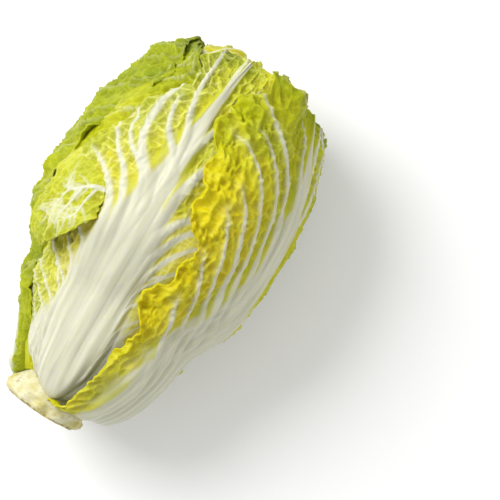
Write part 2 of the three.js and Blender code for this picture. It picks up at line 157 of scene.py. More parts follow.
# The side veins that show best: (x from the cut face, distance from the axis towards -Y),
# each from where it leaves the rib to where it ends near the margin.
FRONT_VEINS = [
    [(129, -27), (143, -30), (154, -35), (163, -43), (170, -52), (174, -61)],
    [(138, -21), (153, -24.5), (165, -31), (175, -38), (181, -45), (190, -53), (201, -57),
     (215, -57)],
    [(152, -15.5), (166, -18), (177, -24), (184, -32), (190, -41), (200, -48), (214, -50),
     (226, -48)],
    [(160, -12.5), (175, -18), (184, -27), (194, -35.5), (208, -39.5), (226, -38.5), (243, -35.5),
     (254, -30)],
    [(184, -8.5), (198, -11), (212, -14), (226, -19.5), (240, -23.8), (255, -25), (268, -25),
     (279, -24)],
    [(190, -8), (199, -14), (206, -21), (213, -27.5), (224, -31), (236, -32)],
    [(60, -3), (110, -5), (152, -6), (184, -6.5), (219, -7), (243, -8.6), (266, -10.3),
     (282, -8.6)],
    [(205, -6), (222, -2), (238, 3), (252, 8), (266, 9)],
    [(148, 7), (160, 11), (169, 18), (175, 26), (180, 34)],
    [(134, 10.5), (147, 14.5), (158, 20), (166, 28), (172, 37)],
    [(122, 13.5), (135, 18), (146, 24), (155, 32), (160, 40)],
    [(176, 3), (190, 5), (202, 8), (214, 13), (226, 20)],
]
RIGHT_VEINS = [
    [(52, 46), (76, 46), (96, 44.5), (112, 41), (124, 37)],
    [(66, 51), (92, 51.5), (114, 50.5), (132, 47.5), (146, 43), (157, 37)],
    [(80, 56.5), (108, 56.5), (132, 55), (150, 51.5), (166, 46.5), (180, 40), (190, 33)],
    [(94, 61), (122, 61), (146, 59.5), (166, 56), (182, 50.5), (196, 43), (206, 33)],
    [(106, 65), (134, 65), (160, 63.5), (180, 60), (197, 54), (212, 45.5), (223, 35), (230, 22),
     (233, 9)],
    [(122, 69), (150, 69), (176, 67), (198, 62.5), (216, 55), (230, 45), (239, 34), (244, 22)],
    [(136, 72), (166, 71.5), (192, 68.5), (212, 63), (230, 54.5), (243, 44), (252, 31), (258, 17),
     (266, 3)],
    [(152, 75), (180, 74.5), (205, 71), (224, 65.5), (242, 58.5), (257, 50), (269, 40), (279, 30)],
    [(176, 77), (204, 75.5), (228, 71), (248, 64.5), (264, 57.5), (277, 49)],
    [(206, 78), (230, 75), (250, 70), (266, 64), (278, 57)],
]

# The right leaf's frilled margin where it crosses the front leaf, in the same terms.
RIGHT_MARGIN = [
    (12, 14), (30, 18), (49, 21.5), (72, 24.5), (92, 27), (99, 24), (105, 18.5), (113, 16.5),
    (120, 21), (127, 29), (140, 30), (151, 31), (160, 27), (168, 19), (178, 12), (186, 14), (193, 12),
    (200, 6.5), (208, 6), (216, 7), (224, -1), (232, -4), (240, 1), (249, -1), (258, -3), (268, 2),
    (278, 6),
]

LEAVES = [
    leaf("leaf_inner_right", 38, 148, [34, 48, 56, 60, 60, 60], [34, 48, 56, 60, 60, 60],
         (0, 0, 3), 4, 8, tint=0.3, tint_tip=0.3),
    leaf("leaf_inner_back", -150, 149, [34, 48, 58, 64, 62, 60], [34, 48, 58, 64, 62, 60],
         (0, 0, 3), 4, 7, tint=0.3, tint_tip=0.3),
    leaf("leaf_inner_left", -100, 146, [34, 44, 48, 48, 48, 46], [34, 52, 70, 76, 78, 74],
         (0, 0, 2), 3, 7, tint=0.55, tint_tip=0.25, tint_margin=(0.2, 0.0), blister=2.2,
         side_girth=0.3, rib_white=(1.0, 0.25), crumple=(0.3, 0.7), scallop=1.6, lift=0.4,
         tip_back=-3.0, press=(0.0, 1.5), vein_white=0.4, bulge=2.2),
    leaf("leaf_far_right", 122, 150, [30, 42, 50, 52, 50, 46], [30, 42, 50, 54, 52, 48],
         (0, 3, 5), 5, 7, tint=0.55),
    leaf("leaf_front", -8, 154, [34, 56, 60, 42, 18, 44], [34, 38, 38, 38, 38, 44],
         (2, 0, 3), 5, 7, tint=0.28, tint_tip=0.3, tint_margin=(0.3, -0.3), veins=FRONT_VEINS,
         groove=(9.5, 0.3), vein_height=2.4, crumple=(0.4, 0.5), side_girth=0.6, blister=1.7,
         rib_white=(1.16, 1.22), scallop=1.6, foot_white=1.1, press=(1.0, 0.0), low_tint=0.2,
         glow=0.22, net_shown=0.25, shown_girth=1.3, foot_veins=8),
    leaf("leaf_left", -128, 150, [34, 46, 50, 52, 50, 46],
         [32, 50, 60, 54, 46, 48, 63, 73, 78, 80, 80], (0, 1, 3), 4, 7, tint=0.88, tint_tip=0.1,
         tint_margin=(0.2, -0.05), crumple=(0.2, 0.75), blister=2.4, hug=1.0, side_girth=0.35,
         scallop=1.7, lift=0.3, press=(0.0, 6.0), vein_white=0.2, bulge=2.8, dip=3.0),
    leaf("leaf_right", 62, 151, [33, 41, 47, 52, 62, 60], [34, 42, 50, 54, 50, 46],
         (5, 2, 3), 6, 9, swell=8.0, tint=0.38, tint_tip=0.2, tint_margin=(-0.02, 0.25),
         veins=RIGHT_VEINS, groove=(8.0, 0.4), vein_height=2.0, crumple=(1.3, 0.3), curl=(0.75, 0.2),
         side_girth=0.6, blister=1.4, hug=0.5, margin=RIGHT_MARGIN, tint_band=-0.42, tip_back=5.0,
         frill_wave=2.0, glow=0.2),
    leaf("leaf_under", 180, 149, [32, 44, 52, 54, 50, 50], [32, 44, 52, 54, 50, 48],
         (2, 2, 4), 4, 6, tint=0.6),
]
HEART_LEAVES = [
    leaf(f"heart_leaf_{n + 1}", (200 + n * 137.5) % 360, reach, [40, 52, 58, 60, 64, 66],
         [40, 52, 58, 60, 64, 66], (0, 0, 2), 4, 5, start=78.0, sink=3.0, tint=0.2, tint_tip=0.2,
         crumple=(0.4, 0.4), rib_white=(0.4, 0.4), side_girth=0.4, vein_white=0.35, tip_back=-1.0)
    for n, reach in enumerate([166, 166, 166, 166, 168, 171, 174, 176])
]

# The loose lobe on the front leaf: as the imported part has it, and then as its own sheet shows.
LOBE = SimpleNamespace(
    from_around=-28.0, to_around=-62.0, from_x=182.0, lift=7.0, ruffle=3.0, waves=2.5
)
LOBE_MARGIN_X = [134, 124, 115, 109, 106, 108]
LOBE_SHOWN = SimpleNamespace(
    from_around=-23.0, from_x=170.0, sunk=8.0, top_turn=4.0, lower=6.0, tuck=5.0
)
LOBE_ARCH = [(155, -38), (154, -45), (150, -51), (145.5, -55), (143.5, -58.5), (145.5, -63)]
LOBE_VEINS = [
    [(152, -45), (142.5, -45.5), (132, -46), (125, -49), (117, -53)],
    [(147, -53), (135, -53.5), (126, -55), (119, -59)],
    [(144, -59), (135, -60), (128, -61), (120, -64)],
]
LOBE_TEETH = ((5, 2.2), (13, 1.3), (26, 0.8))
LOBE_FREE_FROM = 0.35
LOBE_ROOM = 4.0

# Quads along and across each leaf, and steps around each spun piece.
LEAF_QUADS = {
    "leaf_inner_right": (150, 80),
    "leaf_inner_back": (130, 74),
    "leaf_inner_left": (160, 100),
    "leaf_far_right": (180, 120),
    "leaf_front": (264, 178),
    "leaf_left": (214, 150),
    "leaf_right": (264, 178),
    "leaf_under": (180, 120),
}
HEART_QUADS = (56, 32)
LOBE_QUADS = (80, 92)
CORE_STEPS = 84
STUMP_STEPS = 132

# Cells each way before the noise repeats, and steps of a sheet's thickness.
LATTICE = 128
THICKNESS_STEPS = 40

Profile = namedtuple("Profile", "x radius normal_x normal_r mm_per_degree")
Place = namedtuple("Place", "share side across blade mm inside on")


def smooth(value, start, end):
    """0 before start, 1 after end, and an even rise between them."""
    t = np.clip((value - start) / (end - start), 0, 1)
    return t * t * (3 - 2 * t)


def stations(values, t):
    """A value read from evenly spaced stations, with straight lines between them."""
    return np.interp(np.clip(t, 0, 1), np.linspace(0, 1, len(values)), values)


def wave(turns, phase=0.0):
    """A wave between 0 and 1."""
    return 0.5 + 0.5 * np.cos(2 * np.pi * turns + phase)


def by_side(side, pair):
    """The first of a pair on a leaf's low side, and the second on its high side."""
    return np.where(side < 0, *pair)


def between_cells(grid, i, j, s, t):
    """A grid's value at shares s and t of the way from cell i, j to the next, wrapped around."""
    below, beside = (i + 1) % grid.shape[0], (j + 1) % grid.shape[1]
    i, j = i % grid.shape[0], j % grid.shape[1]
    near = grid[i, j] * (1 - t) + grid[i, beside] * t
    far = grid[below, j] * (1 - t) + grid[below, beside] * t
    return near * (1 - s) + far * s


def noise(u, v, seed):
    """Smooth seeded noise between -1 and 1, with one bump to each unit of u and v."""
    lattice = np.random.default_rng(seed).uniform(-1, 1, (LATTICE, LATTICE))
    u, v = np.broadcast_arrays(np.asarray(u, float), np.asarray(v, float))
    i, j = np.floor(u).astype(int), np.floor(v).astype(int)
    return between_cells(lattice, i, j, smooth(u - i, 0, 1), smooth(v - j, 0, 1))


def cell_distances(u, v, seed):
    """How far the nearest and the next nearest of one seeded point in each unit cell are."""
    spread = np.random.default_rng(seed).random((LATTICE, LATTICE, 2))
    i, j = np.floor(u).astype(int), np.floor(v).astype(int)
    first, second = np.full(u.shape, np.inf), np.full(u.shape, np.inf)
    for di in (-1, 0, 1):
        for dj in (-1, 0, 1):
            point = spread[(i + di) % LATTICE, (j + dj) % LATTICE]
            far = np.hypot(i + di + point[..., 0] - u, j + dj + point[..., 1] - v)
            second = np.minimum(second, np.maximum(first, far))
            first = np.minimum(first, far)
    return first, second


def creases(u, v, seed):
    """Noise with sharp crests, between -1 and 1."""
    return 1 - 2 * np.abs(noise(u, v, seed)) ** 0.7


def profile(along):
    """The barrel's profile at an angle along it."""
    along = np.asarray(along, float)
    half = np.where(along < 90, STEM_HALF_LENGTH, TIP_HALF_LENGTH)
    sine = np.maximum(np.sin(np.radians(along)), 1e-4)
    cosine = np.cos(np.radians(along))
    slope_x = half * sine
    slope_r = BELLY_RADIUS * BLUNTNESS * sine ** (BLUNTNESS - 1) * cosine
    size = np.hypot(slope_x, slope_r)
    return Profile(
        BELLY_X - half * cosine, BELLY_RADIUS * sine**BLUNTNESS, -slope_r / size, slope_x / size,
        np.radians(size),
    )


def core_depth(along):
    """How far inside the barrel the solid core lies."""
    return stations(CORE_DEPTH, (along - LEAF_START) / (180 - LEAF_START))


def lying(x, y, z):
    """y and z of a point of the barrel once the head lies down."""
    slim = SLIM_SHARE * smooth(x, *SLIM_GROWS) * (1 - smooth(x, *SLIM_ENDS)) * smooth(y, *SLIM_SIDE)
    return y * (1 - slim), z * LYING_SQUASH + (x - BELLY_X) * LYING_LEAN


def head_point(along, around, height):
    """Points at heights above the barrel's surface, in millimetres in the row frame."""
    p = profile(along)
    x = p.x + height * p.normal_x
    radius = p.radius + height * p.normal_r
    turn = np.radians(around)
    y, z = lying(x, -radius * np.sin(turn), radius * np.cos(turn))
    return np.stack([x + HEAD_AT[0], y + HEAD_AT[1], z + HEAD_AT[2]], axis=-1)


ARC_STEP = 0.25
ARC_DEGREES = np.arange(0, 180 + ARC_STEP, ARC_STEP)
ARC_MIDDLES = profile(ARC_DEGREES[1:] - ARC_STEP / 2)
ARC_MM = np.concatenate([[0], np.cumsum(ARC_MIDDLES.mm_per_degree * ARC_STEP)])


def arc_mm(along):
    """The distance along the barrel's surface, in millimetres from its stem end."""
    return np.interp(along, ARC_DEGREES, ARC_MM)


STACK_ALONG = np.arange(LEAF_START, GRID_END + CELL_ALONG / 2, CELL_ALONG)
STACK_AROUND = np.arange(0, 360, CELL_AROUND)


def filtered(grid, reach_mm, combine):
    """The grid with each cell combined with those that lie within a reach of it."""
    out = np.empty_like(grid)
    p = profile(STACK_ALONG)
    column_mm = math.radians(CELL_AROUND) * p.radius
    for i in range(len(grid)):
        rows = math.ceil(reach_mm / (p.mm_per_degree[i] * CELL_ALONG))
        columns = min(math.ceil(reach_mm / column_mm[i]), WIDEST_FILTER)
        near = np.clip(np.arange(i - rows, i + rows + 1), 0, len(grid) - 1)
        line = combine(grid[near], axis=0)
        padded = np.concatenate([line[-columns:], line, line[:columns]])
        out[i] = combine(np.lib.stride_tricks.sliding_window_view(padded, 2 * columns + 1), axis=1)
    return out


def cover_of(stack, spread=SPREAD_MM, soften=SOFTEN_MM):
    """A smooth surface that lies over the whole stack."""
    return filtered(filtered(stack, spread, np.max), soften, np.mean)


def read_grid(grid, along, around):
    """The height of a grid of the stack at places of the barrel."""
    row = np.clip((along - LEAF_START) / CELL_ALONG, 0, len(grid) - 1.001)
    column = around / CELL_AROUND
    i, j = np.floor(row).astype(int), np.floor(column).astype(int)
    return between_cells(grid, i, j, row - i, column - j)


def leaf_along(one, share):
    """The angle along the barrel at a share of a leaf's length."""
    return one.start + share * (one.reach - one.start)


def leaf_share(one, along):
    """The share of a leaf's length at an angle along the barrel, past its ends too."""
    return (along - one.start) / (one.reach - one.start)


def leaf_length(one):
    """A leaf's length over the barrel, in millimetres."""
    return arc_mm(one.reach) - arc_mm(one.start)


def around_at(one, along, m):
    """The angle around the head of a place m millimetres beside a leaf's middle line."""
    return one.around + np.degrees(m) / profile(along).radius


def turned(degrees):
    """An angle as the same one between -180 and 180 degrees."""
    return (degrees + 180) % 360 - 180


def leaf_widths(one, share, side):
    """Half the leaf's width and half its rib's, in millimetres, at a share of its length."""
    past = np.maximum(0, (share - TIP_FROM) / (1 - TIP_FROM))
    rounding = np.sqrt(1 - TIP_ROUNDING * past * past)
    degrees = by_side(side, (stations(one.low, share), stations(one.high, share))) * rounding
    whole = np.radians(degrees) * profile(leaf_along(one, share)).radius
    return whole, np.minimum(stations(RIB_HALF_WIDTH, share), RIB_SHARE * whole)


def leaf_form(one, place):
    """The leaf's thickness, its fixed lift and the lift that later leaves press flat."""
    thinning = RIB_THINNING * smooth(place.across, RIB_FULL_TO, RIB_THIN_AT)
    rib = stations(RIB_THICKNESS, place.share) * (1 - thinning)
    margin = smooth(place.blade, MARGIN_FROM, 1)
    tip = smooth(place.share, TIP_FROM, 1)
    phase = by_side(place.side, (0.0, 2.0))
    side_wave = margin * (1 - tip) * smooth(place.share, *WAVES_GROW)
    side_wave = side_wave * wave(one.waves * place.share, phase)
    tip_wave = TIP_WAVE_SHARE * tip * wave(place.mm / TIP_WAVE_LENGTH, phase)
    flare = by_side(place.side, one.flare[:2]) * margin * smooth(place.share, *FLARE_GROWS)
    flare = flare + one.flare[2] * tip
    swell = one.swell * smooth(place.share, *SWELL_GROWS) * (1 - smooth(place.share, *SWELL_ENDS))
    sunk = one.sink * (1 - smooth(place.share, *SINK_ENDS))
    veined = VEINED_LEVEL * smooth(place.blade, 0, VEINED_FROM) * (1 - tip)
    return PACKED_BLADE + rib, veined + swell - sunk, one.ruffle * (side_wave + tip_wave) + flare


def place_on_leaf(one, along, around, margin_mm):
    """Where points of the barrel fall on a leaf. "on" is false where they are off it."""
    share = leaf_share(one, along)
    turn = turned(around - one.around)
    side = np.where(turn < 0, -1, 1)
    held = np.clip(share, 0, 1)
    whole, rib = leaf_widths(one, held, side)
    mm = np.abs(np.radians(turn)) * profile(along).radius
    blade = np.clip((mm - rib) / (whole - rib), 0, 1)
    on = (np.abs(share - 0.5) <= 0.5 + END_MARGIN) & (mm <= whole + margin_mm)
    return Place(held, side, np.where(mm < rib, mm / rib, 1 + blade), blade, mm, whole - mm, on)


def covered_by(later, along, around):
    """How far later leaves cover places, from 0 to 1."""
    most = np.zeros(np.broadcast(along, around).shape)
    for one in later:
        place = place_on_leaf(one, along, around, COVER_REACH)
        most = np.maximum(most, place.on * smooth(place.inside, -COVER_REACH, COVER_FULL_AT))
    return most


def outer_height(one, place, cover_height, covered, lift=1.0):
    """How high a leaf's outer face lies, and how thick the leaf is there."""
    thickness, fixed, loose = leaf_form(one, place)
    gap = bpy.context.scene.cabbage_sizes.leaf_gap / MM
    loose = lift * loose * (1 - (1 - PRESSED) * covered)
    return cover_height + gap + loose + fixed + thickness, thickness


def lay_leaf(one, later, stack):
    """Lays a leaf on the stack. Returns the surfaces that it and its margins lie on."""
    cover, close = cover_of(stack), cover_of(stack, CLOSE_SPREAD_MM, CLOSE_SOFTEN_MM)
    along, around = np.meshgrid(STACK_ALONG, STACK_AROUND, indexing="ij")
    place = place_on_leaf(one, along, around, SIDE_MARGIN)
    top, _ = outer_height(one, place, cover, covered_by(later, along, around))
    np.copyto(stack, np.maximum(stack, top), where=place.on)
    return cover, close


def lay_lobe(stack):
    """Raises the stack by the loose lobe, and returns the surface that the lobe lies on."""
    cover = cover_of(stack)
    along, around = np.meshgrid(STACK_ALONG, turned(STACK_AROUND), indexing="ij")
    down = (LOBE.from_x - profile(along).x) / (LOBE.from_x - min(LOBE_MARGIN_X))
    on = (down >= 0) & (down <= 1 + END_MARGIN)
    on &= (around >= LOBE.to_around - LOBE_ROOM) & (around <= LOBE.from_around + LOBE_ROOM)
    top = cover + (LOBE.lift + LOBE.ruffle) * down + PACKED_BLADE
    np.copyto(stack, np.maximum(stack, top), where=on)
    return cover


LAID = {}


def laid_head():
    """Every leaf by name, as leaf, later leaves, cover and close cover, and the lobe's cover."""
    if not LAID:
        stack = np.repeat(-core_depth(STACK_ALONG)[:, None], len(STACK_AROUND), axis=1)
        for one in HEART_LEAVES:
            LAID[one.name] = (one, [], *lay_leaf(one, [], stack))
        for n, one in enumerate(LEAVES):
            later = LEAVES[n + 1 :]
            LAID[one.name] = (one, later, *lay_leaf(one, later, stack))
            if one.name == "leaf_front":
                LAID["front_lobe"] = lay_lobe(stack)
    return LAID


def smooth_path(points, steps):
    """A smooth run of points through a few given ones."""
    p = np.asarray(points, float)
    ends = np.vstack([2 * p[0] - p[1], p, 2 * p[-1] - p[-2]])
    t = (np.arange(steps) / steps)[:, None]
    runs = []
    for i in range(len(p) - 1):
        a, b, c, d = ends[i : i + 4]
        runs.append(0.5 * (2 * b + (c - a) * t + (2 * a - 5 * b + 4 * c - d) * t**2
                           + (3 * b - a - 3 * c + d) * t**3))
    return np.vstack([*runs, p[-1:]])


# How a point of the picture is brought down onto a leaf: the height to start from, the part of the
# barrel that can be seen, how far out from the axis a point may lie, a leaf's usual height over its
# cover, and how many rounds come near enough.
FIRST_HEIGHT = 8.0
SEEN_ARC = ARC_DEGREES[40:-20]
FARTHEST_OUT = 0.97
USUAL_HEIGHT = 2.0
ROUNDS = 4


def seen_on_leaf(one, cover, points):
    """Points given as x and distance from the axis, as (length, width) in mm on a leaf."""
    x, lateral = np.asarray(points, float).T
    height = np.full(x.shape, FIRST_HEIGHT)
    table = profile(SEEN_ARC)
    for _ in range(ROUNDS):
        along = np.array([np.interp(px, table.x + h * table.normal_x, SEEN_ARC)
                          for px, h in zip(x, height)])
        p = profile(along)
        sine = np.clip(lateral / (p.radius + height * p.normal_r), -FARTHEST_OUT, FARTHEST_OUT)
        around = np.degrees(np.arcsin(sine))
        share = np.clip(leaf_share(one, along), 0, 1)
        swell = one.swell * (1 - smooth(share, *SWELL_ENDS))
        height = read_grid(cover, along, around) + USUAL_HEIGHT + swell
    m = np.radians(turned(around - one.around)) * p.radius
    return np.stack([arc_mm(along) - arc_mm(one.start), m], axis=1)


# A vein's half width and height: deep in the rib, where it leaves it, and at its end. Then how each
# tapers, and the lane that a vein follows in the rib.
VEIN_LANE = (3.0, 0.1)
VEIN_ROOT = (2.5, 1.0)
VEIN_END = (0.7, 0.1)
VEIN_TAPER = (1.2, 1.3)
LANE_LENGTH = 80.0
LANE_POINTS = 5
LANE_STARTS = 3
THINNEST_VEIN = 0.65


def with_sizes(path, lane_points, height, girth=1.0):
    """A vein's path with its half width and height at each point."""
    n = np.arange(len(path))
    out = np.clip((n - lane_points) / max(len(path) - 1 - lane_points, 1), 0, 1)
    up = np.clip(n / max(lane_points, 1), 0, 1)
    (lane_width, lane_rise), (root_width, root_rise) = VEIN_LANE, VEIN_ROOT
    width = np.where(n < lane_points, lane_width + (root_width - lane_width) * up,
                     root_width + (VEIN_END[0] - root_width) * out ** VEIN_TAPER[0])
    rise = np.where(n < lane_points, lane_rise * up + (root_rise - lane_rise) * up**3,
                    root_rise + (VEIN_END[1] - root_rise) * out ** VEIN_TAPER[1])
    return np.column_stack([path, np.maximum(width * girth, THINNEST_VEIN), rise * height])


def share_at(one, l):
    """The share of a leaf's length at a distance along it in millimetres."""
    along = np.interp(l + arc_mm(one.start), ARC_MM, ARC_DEGREES)
    return np.clip(leaf_share(one, along), 0, 1)


# A side vein keeps to this share of the rib's half width, and ends at this share of the leaf's.
IN_THE_RIB = 0.9
TO_THE_MARGIN = 0.97
FAN_POINTS = 13
FAN_BEND = (1.5, 2)


def side_vein(one, side, leaves_at, run, height):
    """A side vein that runs up inside the rib and then fans out to the margin."""
    length = leaf_length(one)
    at = leaves_at * length
    lane = np.linspace(max(at - LANE_LENGTH, LANE_STARTS), at, LANE_POINTS + 2)[:-1]
    begin = IN_THE_RIB * leaf_widths(one, share_at(one, at), side)[1]
    lane_rib = leaf_widths(one, share_at(one, lane), side)[1]
    t = np.linspace(0, 1, FAN_POINTS)
    out = at + run * length * t
    whole, _ = leaf_widths(one, share_at(one, out), side)
    opened = 1 - (1 - t ** FAN_BEND[0]) ** FAN_BEND[1]
    fanned = begin + (TO_THE_MARGIN * whole - begin) * opened
    m = np.concatenate([np.minimum(begin, IN_THE_RIB * lane_rib), fanned])
    path = np.column_stack([np.concatenate([lane, out]), side * m])
    return with_sizes(path, len(lane), height, one.side_girth)


# Twigs: where along a vein they leave it, how they turn away and bend back in radians, how long they
# are in millimetres, and their half widths and heights from first to last.
TWIG_PLACES = (0.36, 0.45, 0.54, 0.63, 0.72, 0.81, 0.9)
TWIG_TURN = (0.75, 1.15)
TWIG_BEND = 0.35
TWIG_LENGTH = (8, 17)
TWIG_STEPS = 4
TWIG_WIDTH = np.linspace(0.95, 0.55, TWIG_STEPS + 1)
TWIG_RISE = np.linspace(0.5, 0.16, TWIG_STEPS + 1)


def branches(path, height, seed):
    """Thin veins that leave a side vein on both sides of it and lean towards the tip."""
    rng = np.random.default_rng(seed)
    made = []
    n = len(path)
    for place in TWIG_PLACES:
        for turn in (-1, 1):
            i = min(int(place * n + rng.uniform(-0.5, 1)), n - 2)
            ahead = path[i + 1, :2] - path[i, :2]
            ahead /= max(np.hypot(*ahead), 1e-6)
            angle = turn * rng.uniform(*TWIG_TURN)
            reach = rng.uniform(*TWIG_LENGTH)
            run = [path[i, :2]]
            for step in range(TWIG_STEPS):
                a = angle - turn * TWIG_BEND * step / 3
                way = np.array([ahead[0] * math.cos(a) - ahead[1] * math.sin(a),
                                ahead[0] * math.sin(a) + ahead[1] * math.cos(a)])
                run.append(run[-1] + way * reach / TWIG_STEPS)
            made.append(np.column_stack([run, TWIG_WIDTH, TWIG_RISE * height]))
    return made


def shown_veins(one, cover):
    """The veins that the eye follows, each with a lane that runs up to it inside the rib."""
    made = []
    for k, points in enumerate(one.veins):
        seen = seen_on_leaf(one, cover, points)
        first = seen[0, 0]
        lane_l = np.linspace(max(first - LANE_LENGTH, LANE_STARTS), first, LANE_POINTS + 1)[:-1]
        lane = np.column_stack([lane_l, np.full(LANE_POINTS, seen[0, 1])])
        path = np.vstack([lane, smooth_path(seen, 3)])
        girth = one.shown_girth * (1 + 0.22 * math.sin(2.3 * k + 1))
        made.append(with_sizes(path, LANE_POINTS, one.vein_height, girth))
    return made


def middle_vein(one):
    """The vein in the middle of a leaf's rib."""
    path = np.column_stack([np.linspace(2, leaf_length(one), 14), np.zeros(14)])
    return with_sizes(path, 8, one.vein_height)


def leaf_veins(one, cover):
    """All the veins of one leaf, the chief ones first, and then the twigs on them."""
    height = one.vein_height
    if one.veins:
        chief = shown_veins(one, cover)
        foot = [(0.07 + 0.047 * k, 0.1 + 0.012 * k, 0.7) for k in range(8)]
        low, high = foot[: one.foot_veins], foot[1:]
    else:
        chief = [middle_vein(one)]
        low = high = [
            (0.14 + 0.72 * (k / 11), 0.1 + 0.16 * math.sin(math.pi * (k + 1) / 13), 1.0)
            for k in range(12)
        ]
    for side, runs in ((-1, low), (1, high)):
        for k, (leaves_at, run, share) in enumerate(runs):
            shifted = leaves_at + 0.014 * math.sin(5 * k + side)
            longer = run * (1 + 0.3 * math.sin(3.7 * k + side))
            chief.append(side_vein(one, side, shifted, longer, height * share))
    twigs = []
    for k, path in enumerate(chief):
        twigs += branches(path, height, 1000 * len(one.name) + k)
    return chief, twigs


# A vein's bump and its white line, in its half widths, the height at which it is all white, and how
# far in millimetres it is felt.
VEIN_FOOT = 1.8
VEIN_WHITE = (0.55, 1.25)
VEIN_FULLY_WHITE = 0.6
VEIN_REACH = 9
FAR_FROM_VEINS = 30.0


def vein_relief(veins, l, m):
    """The height that veins add, how white they are, and how far the nearest one's edge is."""
    ridge, white, away = np.zeros(l.shape), np.zeros(l.shape), np.full(l.shape, FAR_FROM_VEINS)
    least, most = l.min(axis=1), l.max(axis=1)
    for path in veins:
        for (la, ma, wa, ha), (lb, mb, wb, hb) in zip(path[:-1], path[1:]):
            part = slice(np.searchsorted(most, min(la, lb) - VEIN_REACH),
                         np.searchsorted(least, max(la, lb) + VEIN_REACH))
            if part.start >= part.stop:
                continue
            dl, dm, lp, mp = lb - la, mb - ma, l[part] - la, m[part] - ma
            t = np.clip((lp * dl + mp * dm) / max(dl * dl + dm * dm, 1e-6), 0, 1)
            far = np.hypot(lp - t * dl, mp - t * dm)
            w, h = wa + (wb - wa) * t, ha + (hb - ha) * t
            bump = h * np.clip(1 - (far / (VEIN_FOOT * w)) ** 2, 0, 1) ** 1.5
            line = 1 - smooth(far, VEIN_WHITE[0] * w, VEIN_WHITE[1] * w)
            ridge[part] = np.maximum(ridge[part], bump)
            white[part] = np.maximum(white[part], np.clip(h / VEIN_FULLY_WHITE, 0, 1) * line)
            away[part] = np.minimum(away[part], far - w)
    return ridge, white, away


# The net of small veins: its coarse and fine fields' sizes along and across the leaf, and the length
# and size of its wander, in millimetres.
NET_CELL = (9.5, 7.0)
FINE_CELL = (4.2, 3.6)
NET_WANDER = (11, 2.0)


def net_relief(l, m, seed):
    """The net of small raised veins with sunk fields between: heights from -1 to 1, and its lines."""
    length, size = NET_WANDER
    lw = l + size * noise(l / length, m / length, seed)
    mw = m + size * noise(l / length, m / length, seed + 1)
    first, second = cell_distances(lw / NET_CELL[0], mw / NET_CELL[1], seed + 2)
    line = 1 - smooth(second - first, 0.0, 0.2)
    field = smooth(second - first, 0.05, 0.7)
    first, second = cell_distances(lw / FINE_CELL[0], mw / FINE_CELL[1], seed + 3)
    fine = 1 - smooth(second - first, 0.0, 0.28)
    return 0.55 * line - 0.75 * field + 0.18 * fine, line, fine


# A margin's scallops and teeth: the length and size of each in millimetres, how much further they
# reach in than out, and where on the blade and along the leaf they grow.
TOOTH_WAVES = ((27.0, 2.0), (10.0, 1.9), (4.6, 1.2))
TEETH_INWARD = 0.8
TEETH_ACROSS = (0.7, 1)
TEETH_ALONG = (0.06, 0.22)
TIP_RAGGED = 2.8
TIP_INWARD = 0.7
CURL_WIDTH = 10.0

# How far the parts of a leaf's relief stand out or lie deep, in millimetres.
DEEP = SimpleNamespace(
    folds=2.6, small_folds=1.6, fold_sink=1.2, crinkle=0.9, bulge=0.9, valley=1.3,
    margin_waves=1.8, end_waves=2.4, end_sink=0.8, sideways=1.3, groove_wander=2.0,
)

# How far the valley and the pale halo beside a vein reach from it, in millimetres.
VALLEY_WIDTH = 5.0
HALO_WIDTH = 1.8

# Where along a leaf, by its share, and across its blade the parts of its looks set in.
FRILL_ACROSS, FRILL_ALONG = (0.3, 0.95), (0.06, 0.3)
HUG_ACROSS, PRESS_ACROSS = (0.3, 0.9), (0.76, 1)
GROOVE_ALONG, CURL_ALONG, END_ALONG = (0.02, 0.12), (0.12, 0.35), (0.86, 1)
PETIOLE_ENDS, BLADE_BEGINS, PALE_ENDS = (0.7, 1.1), (0.85, 1.15), (0.9, 1.7)

# Layers of noise on a leaf, each with its length along and across it in mm and its own seed.
BULGES = (16, 14, 20)
SMALL_BULGES = (8, 7, 21)
GROOVE_WANDER = (60, 9, 22)
FOLDS = (10, 8, 23)
SMALL_FOLDS = (4.6, 4.2, 24)
SIDEWAYS = (6, 6, 27)
CLOUDS = (22, 20, 28)
FLECKS = (6, 6, 29)
RIB_EDGE = (9, 4, 30)
CRINKLES = (9, 7, 31)
SMALL_CRINKLES = (4.5, 4.5, 32)
WEB = (3.2, 3.2, 34)
NET_FADES = (7, 7, 35)


def toothed(l, side, seed):
    """How far a margin's scallops and teeth reach out or in, in millimetres."""
    return sum(size * noise(l / length, 7.3 * side + k * 3.1, seed + k)
               for k, (length, size) in enumerate(TOOTH_WAVES))


Grid = namedtuple("Grid", Place._fields + ("along", "l", "m", "whole", "rib", "tip", "covered", "seed"))
Veins = namedtuple("Veins", "ridge white away twig_ridge twig_white")


def layer(grid, which, kind=noise):
    """One layer of noise over a leaf's grid."""
    length, width, seed = which
    return kind(grid.l / length, grid.m / width, grid.seed + seed)


